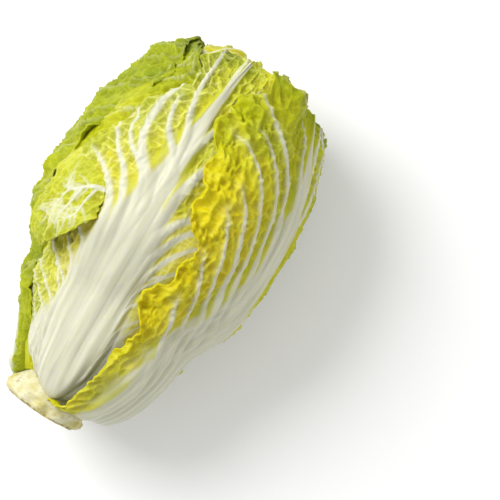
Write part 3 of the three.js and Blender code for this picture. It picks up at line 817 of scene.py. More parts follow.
def leaf_grid(one, later, cover, quads):
    """Where the points of a leaf's grid lie, out to its scalloped margins and its ragged tip."""
    seed = sum(ord(c) * (n + 1) for n, c in enumerate(one.name))
    rows, columns = np.linspace(0, 1, quads[0] + 1), np.linspace(-1, 1, quads[1] + 1)
    share, across = np.meshgrid(rows, columns, indexing="ij")
    side = np.where(across < 0, -1, 1)
    whole, rib = leaf_widths(one, share, side)
    start_mm = arc_mm(one.start)
    l = arc_mm(leaf_along(one, share)) - start_mm
    if one.margin:
        seen = seen_on_leaf(one, cover, one.margin)
        whole = np.where(side < 0, np.interp(l, seen[:, 0], -seen[:, 1]), whole)
        rib = np.minimum(rib, RIB_SHARE * whole)
    teeth = bpy.context.scene.cabbage_sizes.teeth * one.scallop
    teeth = teeth * smooth(np.abs(across), *TEETH_ACROSS) * smooth(share, *TEETH_ALONG)
    mm = np.abs(across) * whole + teeth * (toothed(l, side, seed) - TEETH_INWARD)
    tip = smooth(share, TIP_FROM, 1)
    ragged = noise(side * mm / 13, 0.5, seed + 5) + 0.6 * noise(side * mm / 5, 1.5, seed + 6)
    along = leaf_along(one, share) + tip * (TIP_RAGGED * (ragged - TIP_INWARD) - one.tip_back)
    blade = np.clip((mm - rib) / (whole - rib), 0, 1)
    place = Place(share, side, np.where(mm < rib, mm / rib, 1 + blade), blade, mm, whole - mm, True)
    m = side * mm
    covered = covered_by(later, along, around_at(one, along, m))
    return Grid(*place, along, arc_mm(along) - start_mm, m, whole, rib, tip, covered, seed)


def rib_whiteness(one, grid):
    """How far out a place is from the leaf's middle, where the white rib ends at about 1."""
    share = grid.share
    white = stations(RIB_WHITE_SHARE, share) * by_side(grid.side, one.rib_white)
    white = white * (1 + one.foot_white * (1 - smooth(share, 0.1, 0.3)))
    return grid.mm / (grid.rib * white) + 0.16 * layer(grid, RIB_EDGE)


def grid_veins(one, cover, grid):
    """What a leaf's chief veins and its twigs add at each place of its grid."""
    chief, twigs = leaf_veins(one, cover)
    return Veins(*vein_relief(chief, grid.l, grid.m), *vein_relief(twigs, grid.l, grid.m)[:2])


def frilled(one, grid):
    """How far each place is crumpled into frills, from 0 inside the leaf to its margins."""
    frill = by_side(grid.side, one.crumple) * smooth(grid.blade, *FRILL_ACROSS)
    return frill * smooth(grid.share, *FRILL_ALONG) * (1 - 0.6 * grid.tip)


def frill_folds(grid):
    """The creases that frills are folded along, in millimetres."""
    folds = DEEP.folds * layer(grid, FOLDS, creases)
    return folds + DEEP.small_folds * layer(grid, SMALL_FOLDS, creases)


def rib_grooves(one, grid, on_blade):
    """The long grooves of a leaf's rib, in millimetres."""
    spacing, depth = one.groove
    depth = depth * (1 - on_blade) * smooth(grid.share, *GROOVE_ALONG)
    m = grid.m + DEEP.groove_wander * layer(grid, GROOVE_WANDER)
    return depth * np.cos(2 * np.pi * m / spacing)


def blisters(one, grid, veins, net, on_blade):
    """How a blade is raised into blisters between its veins, in millimetres."""
    net = bpy.context.scene.cabbage_sizes.net_height / MM * net
    crinkle = 0.5 * layer(grid, CRINKLES, creases) + 0.3 * layer(grid, SMALL_CRINKLES, creases) - 0.3
    blister = one.blister * (1 - np.clip(1.5 * veins.white, 0, 1))
    valley = 1 - np.exp(-np.clip(veins.away, 0, FAR_FROM_VEINS) / VALLEY_WIDTH)
    bulge = one.bulge * (layer(grid, BULGES) + 0.5 * layer(grid, SMALL_BULGES))
    swollen = DEEP.bulge * bulge - DEEP.valley * valley
    return on_blade * (blister * (net + DEEP.crinkle * crinkle) + swollen)


def leaf_relief(one, grid, veins, net, on_blade):
    """All that stands out of a leaf's smooth outer face, in millimetres."""
    share, side, blade = grid.share, grid.side, grid.blade
    vein_height = bpy.context.scene.cabbage_sizes.vein_height / MM
    relief = vein_height * veins.ridge + veins.twig_ridge * on_blade
    relief = relief + rib_grooves(one, grid, on_blade) + blisters(one, grid, veins, net, on_blade)
    relief = relief + frilled(one, grid) * (frill_folds(grid) - DEEP.fold_sink)
    waves = smooth(blade, 0.5, 1) * smooth(share, *WAVES_GROW) * by_side(side, (one.frill_wave, 1.0))
    waves = waves * noise(grid.l / 7.5, 2.0 * side + blade, grid.seed + 25)
    end = smooth(share, *END_ALONG)
    end_waves = DEEP.end_waves * noise(grid.m / 7, 3.0 * share, grid.seed + 33) - DEEP.end_sink
    relief = (relief + DEEP.margin_waves * waves) * (1 - 0.35 * end) + end * end_waves
    dip = one.dip * (np.exp(np.minimum(relief, 0) / one.dip) - 1)
    pressed = by_side(side, one.press) * smooth(blade, *PRESS_ACROSS) * (1 - 0.5 * grid.tip)
    return (1 - (1 - RELIEF_PRESSED) * grid.covered) * np.where(relief < 0, dip, relief) - pressed


def curled(one, grid, height):
    """Points of a leaf in millimetres, with its free margins wound outwards."""
    side, mm, covered = grid.side, grid.mm, grid.covered
    wound = by_side(side, one.curl) * (1 - covered) * smooth(grid.share, *CURL_ALONG)
    wound = wound * (0.55 + 0.45 * noise(grid.l / 17, side * 4.0, grid.seed + 26))
    past = np.clip(mm - (grid.whole - CURL_WIDTH), 0, None)
    bend = np.maximum(wound * past / CURL_WIDTH, 1e-4)
    reach = past / bend
    sideways = DEEP.sideways * frilled(one, grid) * layer(grid, SIDEWAYS)
    sideways = sideways * (1 - (1 - RELIEF_PRESSED) * covered)
    m = side * (mm - past + reach * np.sin(bend)) + sideways
    return head_point(grid.along, around_at(one, grid.along, m), height + reach * (1 - np.cos(bend)))


def leaf_tint(one, grid):
    """A leaf's colour at each place, from 0 for deep yellow to 1 for deep green."""
    share, blade, low = grid.share, grid.blade, grid.side < 0
    tint = one.tint + one.tint_tip * smooth(share, 0.45, 1) + 0.25 * smooth(share, 0.9, 1)
    tint = tint + by_side(grid.side, one.tint_margin) * smooth(blade, 0.1, 0.9)
    band = smooth(share, 0.28, 0.42) * (1 - smooth(share, 0.6, 0.82)) * smooth(blade, 0.0, 0.3)
    tint = tint + low * (one.tint_band * band + one.low_tint * (1 - smooth(share, 0.25, 0.5)))
    return tint + 0.12 * layer(grid, CLOUDS) + 0.05 * layer(grid, FLECKS)


def sheet(points, thickness, l, m, **marks):
    """A piece's outer face: points in mm, its thickness, its UV map and what its material reads."""
    marks = {key: np.clip(values, 0, 1) for key, values in marks.items()}
    return dict(marks, points=points, thickness=thickness, uv=np.stack([l / 100, m / 100], axis=-1))


def leaf_sheet(one, later, cover, close, quads):
    """A leaf's outer face on a grid, from its stem end to its tip."""
    grid = leaf_grid(one, later, cover, quads)
    across = rib_whiteness(one, grid)
    petiole = 1 - smooth(across, *PETIOLE_ENDS)
    on_blade = smooth(grid.across, *BLADE_BEGINS) * (1 - petiole)
    veins = grid_veins(one, cover, grid)
    net, line, fine = net_relief(grid.l, grid.m, grid.seed + 10)

    around = around_at(one, grid.along, grid.m)
    hug = one.hug * smooth(grid.blade, *HUG_ACROSS) * (1 - grid.tip)
    under = read_grid(cover, grid.along, around)
    under = under + hug * np.minimum(read_grid(close, grid.along, around) - under, 0)
    height, thickness = outer_height(one, grid, under, grid.covered, one.lift)
    height = height + leaf_relief(one, grid, veins, net, on_blade)

    halo = np.exp(-np.clip(veins.away, 0, FAR_FROM_VEINS) / HALO_WIDTH)
    pale = one.glow * np.maximum(halo, 1 - smooth(across, *PALE_ENDS))
    pale = pale * (0.8 + 0.5 * layer(grid, WEB)) * (1 - grid.tip)
    white = np.maximum(veins.white * (1 - (1 - one.vein_white) * on_blade), pale)
    shown = one.net_shown * line * np.clip(0.6 + 0.8 * layer(grid, NET_FADES), 0, 1)
    twigs = 0.85 * veins.twig_white * one.vein_white
    # Painted shade: the fields are marked darker where the net sinks them and in the creases of the
    # frills.
    hollow = np.clip(0.2 - net - 0.3 * frilled(one, grid) * frill_folds(grid), 0, 1)
    return sheet(
        curled(one, grid, height),
        (thickness - PACKED_BLADE) * MM + bpy.context.scene.cabbage_sizes.blade,
        grid.l,
        grid.m,
        white=np.maximum(petiole, white),
        net=np.maximum(twigs, shown) * on_blade,
        fine=fine * on_blade,
        tint=leaf_tint(one, grid),
        hollow=hollow * on_blade * (1 - white),
    )


def lobe_veins(cover):
    """The lobe's arched chief vein, the thinner ones that hang from it, and the twigs on them."""
    flat = SimpleNamespace(start=0.0, reach=180.0, swell=0.0, around=0.0)
    paths = [smooth_path(seen_on_leaf(flat, cover, path), 4) for path in (LOBE_ARCH, *LOBE_VEINS)]
    veins = [with_sizes(paths[0], 0, 2.0, 0.75)]
    veins += [with_sizes(path, 0, 1.2, 0.36) for path in paths[1:]]
    for k, path in enumerate(veins[:]):
        veins += branches(path, 1.0, 900 + k)
    return veins


def lobe_places(down, over):
    """The angles along the barrel and around it of places on the lobe."""
    from_x = LOBE_SHOWN.from_x
    teeth = sum(size * noise(over * count, 0.5 + k, 61 + k)
                for k, (count, size) in enumerate(LOBE_TEETH))
    teeth = teeth * bpy.context.scene.cabbage_sizes.teeth * smooth(over, -0.1, 0.3)
    lower = 3.0 + LOBE_SHOWN.lower * smooth(over, 0.0, 0.15) * (1 - smooth(over, 0.5, 0.9))
    x = from_x + (stations(LOBE_MARGIN_X, over) - lower - teeth - from_x) * down
    half = np.where(x < BELLY_X, STEM_HALF_LENGTH, TIP_HALF_LENGTH)
    start = LOBE_SHOWN.from_around - LOBE_SHOWN.top_turn * (1 - down)
    start = start + 3.0 * noise(down * 6, 0.5, 65) + 1.2 * noise(down * 17, 1.5, 66)
    around = start + (LOBE.to_around - start) * over
    around = around + 1.5 * down * noise(down * 5, over * 2, 64)
    return np.degrees(np.arccos((BELLY_X - x) / half)), around


def lobe_lift(down, over):
    """How far the lobe stands off the leaf. Its top and its right edge are sunk into it."""
    sunk = LOBE_SHOWN.sunk * (1 - smooth(down, 0, LOBE_FREE_FROM))
    sunk = sunk + LOBE_SHOWN.tuck * (1 - smooth(over, 0, 0.16)) * (1 - smooth(down, 0.55, 0.95))
    lift = LOBE.lift * down + LOBE.ruffle * wave(LOBE.waves * over) * down**2
    return lift * (1 - 0.6 * smooth(over, 0.55, 1)) * (0.65 + 0.35 * smooth(over, 0, 0.3)) - sunk


def lobe_sheet(cover, quads):
    """The loose lobe's outer face on a grid, from its sunk top to its frilled lower margin."""
    sizes = bpy.context.scene.cabbage_sizes
    rows, columns = np.linspace(0, 1, quads[0] + 1), np.linspace(0, 1, quads[1] + 1)
    down, over = np.meshgrid(rows, columns, indexing="ij")
    along, around = lobe_places(down, over)
    l, m = arc_mm(along), np.radians(around) * profile(along).radius
    ridge, white, _ = (grid[::-1] for grid in vein_relief(lobe_veins(cover), l[::-1], m[::-1]))
    net, line, fine = net_relief(l, m, 70)
    blister = 1.2 * sizes.net_height / MM * net + 0.8 * creases(l / 7, m / 6, 74)
    relief = ridge + blister * (1 - white) + 1.4 * noise(l / 12, m / 12, 71)
    relief = relief + 2.4 * smooth(down, 0.5, 1) * noise(over * 9, down * 1.5, 72)
    height = read_grid(cover, along, around) + lobe_lift(down, over) + PACKED_BLADE
    height = height + relief * smooth(down, 0.1, 0.4)
    return sheet(
        head_point(along, around, height),
        np.full(l.shape, sizes.blade),
        l,
        m,
        white=white,
        net=0.3 * line,
        fine=fine,
        tint=0.52 + 0.12 * down + 0.12 * noise(l / 15, m / 15, 73),
        # Painted shade in the lobe's sunk fields, where the net lies low.
        hollow=np.clip(-net, 0, 1) * (1 - white),
    )


def head_axis_point(points):
    """For each point in mm, the point of the head's axis beside it."""
    axis = np.array(points, float)
    axis[:, 1] = HEAD_AT[1]
    axis[:, 2] = lying(points[:, 0] - HEAD_AT[0], 0.0, 0.0)[1] + HEAD_AT[2]
    return axis


def read_mesh(elements, key, width=3):
    """One value of every vertex, loop or face of a mesh, as an array."""
    values = np.empty(len(elements) * width, np.int32 if width == 1 else np.float32)
    elements.foreach_get(key, values)
    return values if width == 1 else values.reshape(-1, width)


def write_mesh(elements, key, values):
    """Sets one value of every vertex, loop or face of a mesh from an array."""
    elements.foreach_set(key, np.asarray(values, np.float32).ravel())


def new_piece(name, mesh, material):
    """An object for a finished mesh, smooth all over, linked into the scene."""
    mesh.polygons.foreach_set("use_smooth", np.ones(len(mesh.polygons), bool))
    mesh.materials.append(material)
    piece = bpy.data.objects.new(name, mesh)
    bpy.context.collection.objects.link(piece)
    return piece


def mesh_from(bm, name):
    """A mesh made of a finished bmesh."""
    mesh = bpy.data.meshes.new(name)
    bm.to_mesh(mesh)
    bm.free()
    return mesh


def thicken(piece, thickness):
    """Gives a sheet its thickness with a Solidify modifier, from one value for each vertex."""
    most = float(thickness.max())
    group = piece.vertex_groups.new(name="thickness")
    step = np.rint(thickness / most * THICKNESS_STEPS).astype(int)
    for value in np.unique(step):
        group.add(np.nonzero(step == value)[0].tolist(), value / THICKNESS_STEPS, "REPLACE")
    solid = piece.modifiers.new("thickness", "SOLIDIFY")
    solid.thickness = most
    solid.offset = -1.0
    solid.vertex_group = group.name
    solid.use_rim = True
    solid.use_quality_normals = True


def face_outward(mesh):
    """Turns a sheet's faces away from the head's axis."""
    normals, centres = read_mesh(mesh.polygons, "normal"), read_mesh(mesh.polygons, "center")
    outward = centres - head_axis_point(centres / MM) * MM
    if (normals * outward).sum() < 0:
        mesh.flip_normals()


def sheet_piece(name, face, quads, material):
    """A leaf as an object: a grid moved onto its outer face, and thickened inwards."""
    bm = bmesh.new()
    bmesh.ops.create_grid(bm, x_segments=quads[0], y_segments=quads[1], size=1.0)
    mesh = mesh_from(bm, name)
    flat = read_mesh(mesh.vertices, "co")[:, :2]
    cells = [len(np.unique(line.round(4))) - 1 for line in flat.T]
    i, j = np.rint((flat + 1) / 2 * cells).astype(int).T
    points = face["points"][i, j]
    points[:, 2] = np.maximum(points[:, 2], 0.0)
    write_mesh(mesh.vertices, "co", points * MM)
    mesh.update()
    for key in ("white", "net", "fine", "tint", "hollow"):
        write_mesh(mesh.attributes.new(key, "FLOAT", "POINT").data, "value", face[key][i, j])
    corners = read_mesh(mesh.loops, "vertex_index", 1)
    write_mesh(mesh.uv_layers.new(name="leaf").data, "uv", face["uv"][i, j][corners])
    face_outward(mesh)
    piece = new_piece(name, mesh, material)
    thicken(piece, face["thickness"][i, j])
    return piece


def spun_piece(name, outline, steps, shape, marks, material):
    """A closed body spun about the head's axis from (x, radius) points, then shaped in mm. marks
    gives how far each place on it is browned."""
    bm = bmesh.new()
    line = [bm.verts.new((x, 0.0, r)) for x, r in outline]
    for a, b in zip(line, line[1:]):
        bm.edges.new((a, b))
    bmesh.ops.spin(bm, geom=bm.verts[:] + bm.edges[:], cent=(0, 0, 0), axis=(1, 0, 0),
                   angle=2 * math.pi, steps=steps, use_merge=True)
    bmesh.ops.remove_doubles(bm, verts=bm.verts[:], dist=1e-3)
    bmesh.ops.recalc_face_normals(bm, faces=bm.faces[:])
    x, across, up = np.array([v.co for v in bm.verts]).T
    turn, radius = np.arctan2(across, up), np.hypot(across, up)
    browned = marks(x, radius)
    x, radius = shape(x, radius, turn)
    y, z = lying(x, radius * np.sin(turn), radius * np.cos(turn))
    for vert, place in zip(bm.verts, np.column_stack([x, y, z]) + HEAD_AT):
        vert.co = Vector(place) * MM
    mesh = mesh_from(bm, name)
    write_mesh(mesh.attributes.new("browned", "FLOAT", "POINT").data, "value", browned)
    return new_piece(name, mesh, material)


# The stump in millimetres: its side from the cut face inwards, its leaf scars, how far in the cut
# face turns into the side, and its gap to the leaves.
STUMP_OUTLINE = [(0.0, 26.5), (0.5, 27.6), (1.2, 28.5), (3.5, 30.2), (5.5, 30.0), (8.0, 29.6)]
SCAR_COUNT = 9
SCAR_HEIGHT = 1.2
CUT_EDGE = (0.2, 1.0)
STUMP_GAP = 0.6


def stump_shape(x, radius, turn):
    """The stump's leaf scars, knobs and slightly dished cut face."""
    side = smooth(radius, 20, 27)
    end = 1 - smooth(x, 5.5, 9.5)
    scars = SCAR_HEIGHT * np.cos(SCAR_COUNT * turn + 2 * np.sin(3 * turn))
    knobs = 1.3 * noise(turn * 4.77, x / 3.5, 91) + 0.8 * noise(turn * 11.1, x / 1.9, 92)
    dished = 0.35 * noise(radius / 2.5, turn * 6.4, 93) + 0.8 * (1 - smooth(radius, 0, 24))
    bulged = radius + end * side * (scars * smooth(x, 0.0, 1.2) + 0.8 * knobs)
    x_out = end * side * 0.5 * knobs * smooth(x, 0.3, 1.2)
    return x + (1 - smooth(x, *CUT_EDGE)) * dished + x_out, bulged


def stump_marks(x, radius):
    """The cut edge browns first, then the scars beside the leaves and a ring in the face."""
    edge = smooth(radius, 24, 27.5) * (1 - smooth(x, 1.0, 3.2))
    scars = 0.35 * smooth(x, 4.4, 5.4)
    ring = 0.3 * np.exp(-(((radius - 19) / 1.8) ** 2)) * (1 - smooth(x, *CUT_EDGE))
    return edge + scars + ring


def divided(points, parts):
    """A run of (x, radius) points with each stretch divided evenly, without the last point."""
    made = []
    for (xa, ra), (xb, rb) in zip(points, points[1:]):
        made += [(xa + (xb - xa) * t, ra + (rb - ra) * t) for t in np.linspace(0, 1, parts + 1)[:-1]]
    return made


def cone_point(height):
    """The (x, radius) point of the cone that the leaves grow from, at a height over the barrel."""
    ring = profile(LEAF_START)
    x = ring.x + height * ring.normal_x - STUMP_GAP * ring.normal_r
    return float(x), float(ring.radius + height * ring.normal_r + STUMP_GAP * ring.normal_x)


def stump_outline():
    """The stump's outline: its face cut into rings, its side, and its cone."""
    end = cone_point(STUMP_GAP - CORE_DEPTH[0])
    face = [(0.0, STUMP_OUTLINE[0][1] * t) for t in np.linspace(0, 1, 16)[:-1]]
    skirt = divided([STUMP_OUTLINE[-1], cone_point(0), end], 6)
    return face + divided(STUMP_OUTLINE, 4) + skirt + [end, (end[0], end[1] / 2), (end[0], 0.0)]


def core_outline():
    """The heart's core, from the stem's end to the far pole."""
    ring = profile(LEAF_START)
    points = [(float(ring.x - CORE_DEPTH[0] * ring.normal_x), 0.0)]
    for along in range(24, 174, 3):
        p, depth = profile(along), core_depth(along)
        points.append((float(p.x - depth * p.normal_x), float(p.radius - depth * p.normal_r)))
    last = points[-1]
    return points + [(last[0], last[1] / 2), (last[0], 0.0)]


def core_shape(x, radius, turn):
    """The crumpled young leaves that the core is made of."""
    fold = noise(x / 9, turn * 3.2 + 5, 95) + 0.5 * noise(x / 4, turn * 6.4 + 5, 96)
    tip = smooth(x, 225, 265)
    spiral = creases(radius / 7 + turn * 0.8, turn * 1.6 + 9, 97)
    inside = np.maximum(radius + (fold - 1.2) * smooth(radius, 0, 8), 0)
    return x + tip * (2.2 * spiral - 1.0) * smooth(radius, 0, 5), inside


def core_marks(x, radius):
    """The core is browned nowhere."""
    return np.zeros(x.shape)


# Materials. Each is one Principled shader, with its pattern from the leaf's own UV map and from the
# attributes that the leaf's mesh carries, or from the piece's own coordinates.
def node(tree, kind, **values):
    """A new shader node with some of its settings."""
    made = tree.nodes.new(kind)
    for key, value in values.items():
        setattr(made, key, value)
    return made


def attribute(tree, name):
    """A value that the mesh carries at each point."""
    return node(tree, "ShaderNodeAttribute", attribute_name=name).outputs["Fac"]


def feed(tree, made, **values):
    """Links a node's inputs, or sets them: RGB for a colour, and _ in a name for a space."""
    for key, value in values.items():
        socket = made.inputs[key.replace("_", " ")]
        if isinstance(value, bpy.types.NodeSocket):
            tree.links.new(value, socket)
        elif socket.type == "RGBA":
            socket.default_value = (*value, 1.0)
        else:
            socket.default_value = value


def maths(tree, operation, a, b=0.0, c=0.0, clamp=False):
    """A Math node's result."""
    made = node(tree, "ShaderNodeMath", operation=operation, use_clamp=clamp)
    for socket, value in zip(made.inputs, (a, b, c)):
        if isinstance(value, bpy.types.NodeSocket):
            tree.links.new(value, socket)
        else:
            socket.default_value = value
    return made.outputs[0]


def mixed(tree, share, a, b, blend="MIX"):
    """Two colours mixed."""
    made = node(tree, "ShaderNodeMix", data_type="RGBA", blend_type=blend)
    feed(tree, made, Factor=share, A=a, B=b)
    return made.outputs["Result"]


def ramp(tree, value, stops):
    """A colour ramp of (place, colour) stops."""
    made = node(tree, "ShaderNodeValToRGB")
    elements = made.color_ramp.elements
    while len(elements) < len(stops):
        elements.new(0.5)
    for element, (at, colour) in zip(elements, stops):
        element.position = at
        element.color = (*colour, 1.0)
    feed(tree, made, Fac=value)
    return made.outputs["Color"]


def grain(tree, vector, scale, detail=3.0, roughness=0.55):
    """Noise between 0 and 1."""
    made = node(tree, "ShaderNodeTexNoise", noise_dimensions="3D")
    feed(tree, made, Vector=vector, Scale=scale, Detail=detail, Roughness=roughness)
    return made.outputs["Fac"]


def own_place(tree):
    """A point's place in the piece's own coordinates."""
    return node(tree, "ShaderNodeTexCoord").outputs["Object"]


def colour(name):
    """One of the head's colours."""
    return tuple(getattr(bpy.context.scene.cabbage_colours, name))


def new_material(name):
    """A material with its node tree and its shader."""
    material = bpy.data.materials.new(name)
    material.use_nodes = True
    tree = material.node_tree
    return material, tree, tree.nodes["Principled BSDF"]


def set_moist(tree, shader, roughness, subsurface):
    """The values that are the same all over a moist plant surface."""
    feed(tree, shader, Roughness=roughness, IOR=1.42, Coat_Weight=0.03, Coat_Roughness=0.2,
         Subsurface_Weight=subsurface, Subsurface_Radius=(1.0, 0.9, 0.25), Subsurface_Scale=0.003,
         Specular_IOR_Level=0.2)


def bumped(tree, shader, height, strength, distance):
    """Gives a shader the fine bumps that are too small to model."""
    bump = node(tree, "ShaderNodeBump")
    feed(tree, bump, Strength=strength, Distance=distance, Height=height)
    feed(tree, shader, Normal=bump.outputs["Normal"])


def fine_threads(tree, place):
    """The finest net of veins: 1 on its lines and 0 in its fields."""
    wobble = node(tree, "ShaderNodeTexNoise", noise_dimensions="2D")
    feed(tree, wobble, Vector=place, Scale=22.0)
    warp = node(tree, "ShaderNodeVectorMath", operation="MULTIPLY_ADD")
    tree.links.new(wobble.outputs["Color"], warp.inputs[0])
    warp.inputs[1].default_value = (0.03, 0.03, 0.0)
    tree.links.new(place, warp.inputs[2])
    edges = node(tree, "ShaderNodeTexVoronoi", feature="DISTANCE_TO_EDGE", voronoi_dimensions="2D")
    feed(tree, edges, Vector=warp.outputs["Vector"], Scale=48.0)
    threads = node(tree, "ShaderNodeMapRange", interpolation_type="SMOOTHSTEP")
    feed(tree, threads, Value=edges.outputs["Distance"], From_Min=0.0, From_Max=0.11, To_Min=1.0,
         To_Max=0.0)
    return threads.outputs["Result"]


def blade_colour(tree, cloud, mottle):
    """Yellow to green by the leaf's tint, clouded and mottled, and darkened with painted shade in its
    hollows.
    """
    tint = maths(tree, "SUBTRACT", attribute(tree, "tint"), 0.15)
    tint = maths(tree, "MULTIPLY_ADD", cloud, 0.3, tint)
    tint = maths(tree, "SUBTRACT", tint, 0.12)
    tint = maths(tree, "MULTIPLY_ADD", mottle, 0.24, tint, clamp=True)
    field = ramp(tree, tint, [
        (0.0, colour("deep_yellow")),
        (0.25, colour("yellow")),
        (0.5, colour("yellow_green")),
        (0.78, colour("leaf_green")),
        (1.0, colour("deep_green")),
    ])
    # Painted shade: the fields are multiplied by a darker yellow where they lie sunk or creased.
    depth = maths(tree, "MULTIPLY", attribute(tree, "hollow"), 0.65)
    return mixed(tree, depth, field, colour("hollow"), "MULTIPLY")


def leaf_material(name, line, lines_show):
    """Leaf tissue: yellow to green fields in a net of small veins of one line colour, with white
    veins and a smooth white rib."""
    material, tree, shader = new_material(name)
    place = node(tree, "ShaderNodeUVMap", uv_map="leaf").outputs["UV"]
    white = attribute(tree, "white")
    cloud, mottle = grain(tree, place, 9.0, 4.0), grain(tree, place, 60.0, 4.0, 0.65)
    thread = fine_threads(tree, place)
    lines = maths(tree, "MULTIPLY", thread, 0.2)
    for key, shown in (("net", 0.62), ("fine", 0.26)):
        lines = maths(tree, "MAXIMUM", lines, maths(tree, "MULTIPLY", attribute(tree, key), shown))
    lines = maths(tree, "MULTIPLY", lines, lines_show)
    field = mixed(tree, lines, blade_colour(tree, cloud, mottle), line)
    along_rib = node(tree, "ShaderNodeMapping", vector_type="POINT")
    feed(tree, along_rib, Vector=place, Scale=(1.8, 34.0, 1.0))
    streak = grain(tree, along_rib.outputs["Vector"], 1.0)
    flesh = ramp(tree, streak, [(0.3, colour("rib_shade")), (0.62, colour("rib"))])
    set_moist(tree, shader, 0.38, 0.5)
    rough = node(tree, "ShaderNodeMapRange")
    feed(tree, rough, Value=white, To_Min=0.44, To_Max=0.3)
    feed(tree, shader, Base_Color=mixed(tree, white, field, flesh), Roughness=rough.outputs["Result"])
    relief = maths(tree, "MULTIPLY_ADD", thread, 0.6, maths(tree, "MULTIPLY", mottle, 1.1))
    relief = maths(tree, "MULTIPLY", relief, maths(tree, "SUBTRACT", 1.0, white))
    relief = maths(tree, "MULTIPLY_ADD", streak, 0.35, relief)
    relief = maths(tree, "MULTIPLY_ADD", grain(tree, place, 160.0, 3.0, 0.6), 0.25, relief)
    bumped(tree, shader, relief, 0.55, 0.0005)
    return material


def core_material():
    """Young heart tissue, in the heart's own yellows: deep yellow in the folds as painted shade, and
    paler on them as painted light.
    """
    material, tree, shader = new_material("heart_tissue")
    fold = grain(tree, own_place(tree), 130.0, 5.0, 0.6)
    # Painted shade and light: the noise that raises the bump makes its folds deep yellow and its crests
    # pale.
    tissue = ramp(tree, fold, [
        (0.3, colour("deep_yellow")),
        (0.6, colour("yellow")),
        (0.8, colour("yellow_line")),
    ])
    set_moist(tree, shader, 0.45, 0.2)
    feed(tree, shader, Base_Color=tissue)
    bumped(tree, shader, fold, 0.7, 0.001)
    return material


def stump_material():
    """Cut stem: off-white and moist, with browning specks that gather along its edge."""
    material, tree, shader = new_material("cut_stem")
    place = own_place(tree)
    cloud, speck = grain(tree, place, 90.0, 5.0, 0.6), grain(tree, place, 420.0, 4.0, 0.7)
    # The flesh turns to the darker, yellower stem_shade where the cloud is low, which is also where the
    # bump sinks: partly the stem's own yellower tissue and partly painted shade in those hollows.
    flesh = ramp(tree, cloud, [(0.32, colour("stem_shade")), (0.6, colour("stem"))])
    stain = maths(tree, "MULTIPLY", maths(tree, "MULTIPLY", speck, cloud), 2.6)
    browned = maths(tree, "MULTIPLY_ADD", attribute(tree, "browned"), 0.8, 0.42)
    stain = maths(tree, "MULTIPLY", stain, browned)
    stained = ramp(tree, stain, [(0.54, (0.0, 0.0, 0.0)), (0.86, (0.85, 0.85, 0.85))])
    set_moist(tree, shader, 0.5, 0.2)
    feed(tree, shader, Base_Color=mixed(tree, stained, flesh, colour("stem_speck")))
    bumped(tree, shader, maths(tree, "ADD", cloud, speck), 0.8, 0.0008)
    return material


def floor_material():
    """The plain pale floor, clouded a little."""
    material, tree, shader = new_material("pale_floor")
    shade = tuple(bpy.context.scene.cabbage_stage.floor_colour)
    stops = [(0.3, tuple(c * 0.985 for c in shade)), (0.7, shade)]
    pale = ramp(tree, grain(tree, own_place(tree), 6.0), stops)
    feed(tree, shader, Base_Color=pale, Roughness=0.85, Specular_IOR_Level=0.1)
    return material


def dress(piece, cad_node):
    """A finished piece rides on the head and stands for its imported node."""
    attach(piece, "root")
    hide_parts(cad_node)


def make_leaves(names, material):
    """The leaves of some names, each in place of its packed one."""
    for name in names:
        face = leaf_sheet(*laid_head()[name], LEAF_QUADS[name])
        dress(sheet_piece(name + "_skin", face, LEAF_QUADS[name], material), name)


def label(key):
    """A property's name as the panel shows it."""
    return key.replace("_", " ").capitalize()


def colour_property(key, description, screen):
    """A colour of the add-on, given as a screen colour."""
    return bpy.props.FloatVectorProperty(name=label(key), description=description, subtype="COLOR",
                                         default=linear(*screen), size=3, min=0.0, max=1.0)


def size_property(key, description, default, unit="LENGTH"):
    """A size of the add-on, in metres unless it has another unit."""
    return bpy.props.FloatProperty(name=label(key), description=description, default=default,
                                   unit=unit, precision=5)


SIZES = {
    "leaf_gap": ("Air between a leaf and what it lies on", 0.001),
    "blade": ("Thickness of a leaf outside its rib", 0.0008),
    "vein_height": ("How far the side veins stand up", 0.001),
    "net_height": ("How far the net of small veins stands up", 0.0013),
    "teeth": ("How deeply margins are scalloped, 1 for a grown leaf", 1.0, "NONE"),
}
COLOURS = {
    "deep_yellow": ("Shaded heart leaves and frills", (212, 196, 0)),
    "yellow": ("Inner leaves", (206, 196, 10)),
    "yellow_green": ("The front leaf's fields", (184, 187, 10)),
    "leaf_green": ("Outer blades", (152, 162, 4)),
    "deep_green": ("Tips and outer margins", (116, 134, 2)),
    # The hollow colour is painted shade, multiplied into the fields in their hollows and creases.
    "hollow": ("What the fields are deepened by in their hollows", (226, 214, 60)),
    "pale_line": ("The front leaf's net of small veins", (230, 229, 136)),
    "yellow_line": ("The other leaves' nets of small veins", (200, 204, 60)),
    "rib": ("Ribs and side veins", (208, 207, 186)),
    "rib_shade": ("Streaks in the ribs", (194, 194, 168)),
    "stem": ("Cut stem", (222, 218, 184)),
    "stem_shade": ("Hollows of the cut stem", (196, 184, 104)),
    "stem_speck": ("Browning specks on the stem", (146, 126, 14)),
}
STAGE = {
    "floor_size": ("Width of the floor", 6.0),
    "camera_distance": ("From the head's middle height to the camera", 1.3),
    "view_width": ("Width of what the camera sees at the head's middle", 0.35),
    "key_power": ("Power of the soft key light", 19.0, "POWER"),
    "fill_power": ("Power of the fill light", 2.5, "POWER"),
    "surroundings": ("Brightness of the pale surroundings", 0.62, "NONE"),
}


class CabbageSizes(bpy.types.PropertyGroup):
    """How large the leaves' finer parts are"""

    __annotations__ = {key: size_property(key, *about) for key, about in SIZES.items()}


class CabbageColours(bpy.types.PropertyGroup):
    """The head's colours"""

    __annotations__ = {key: colour_property(key, *about) for key, about in COLOURS.items()}


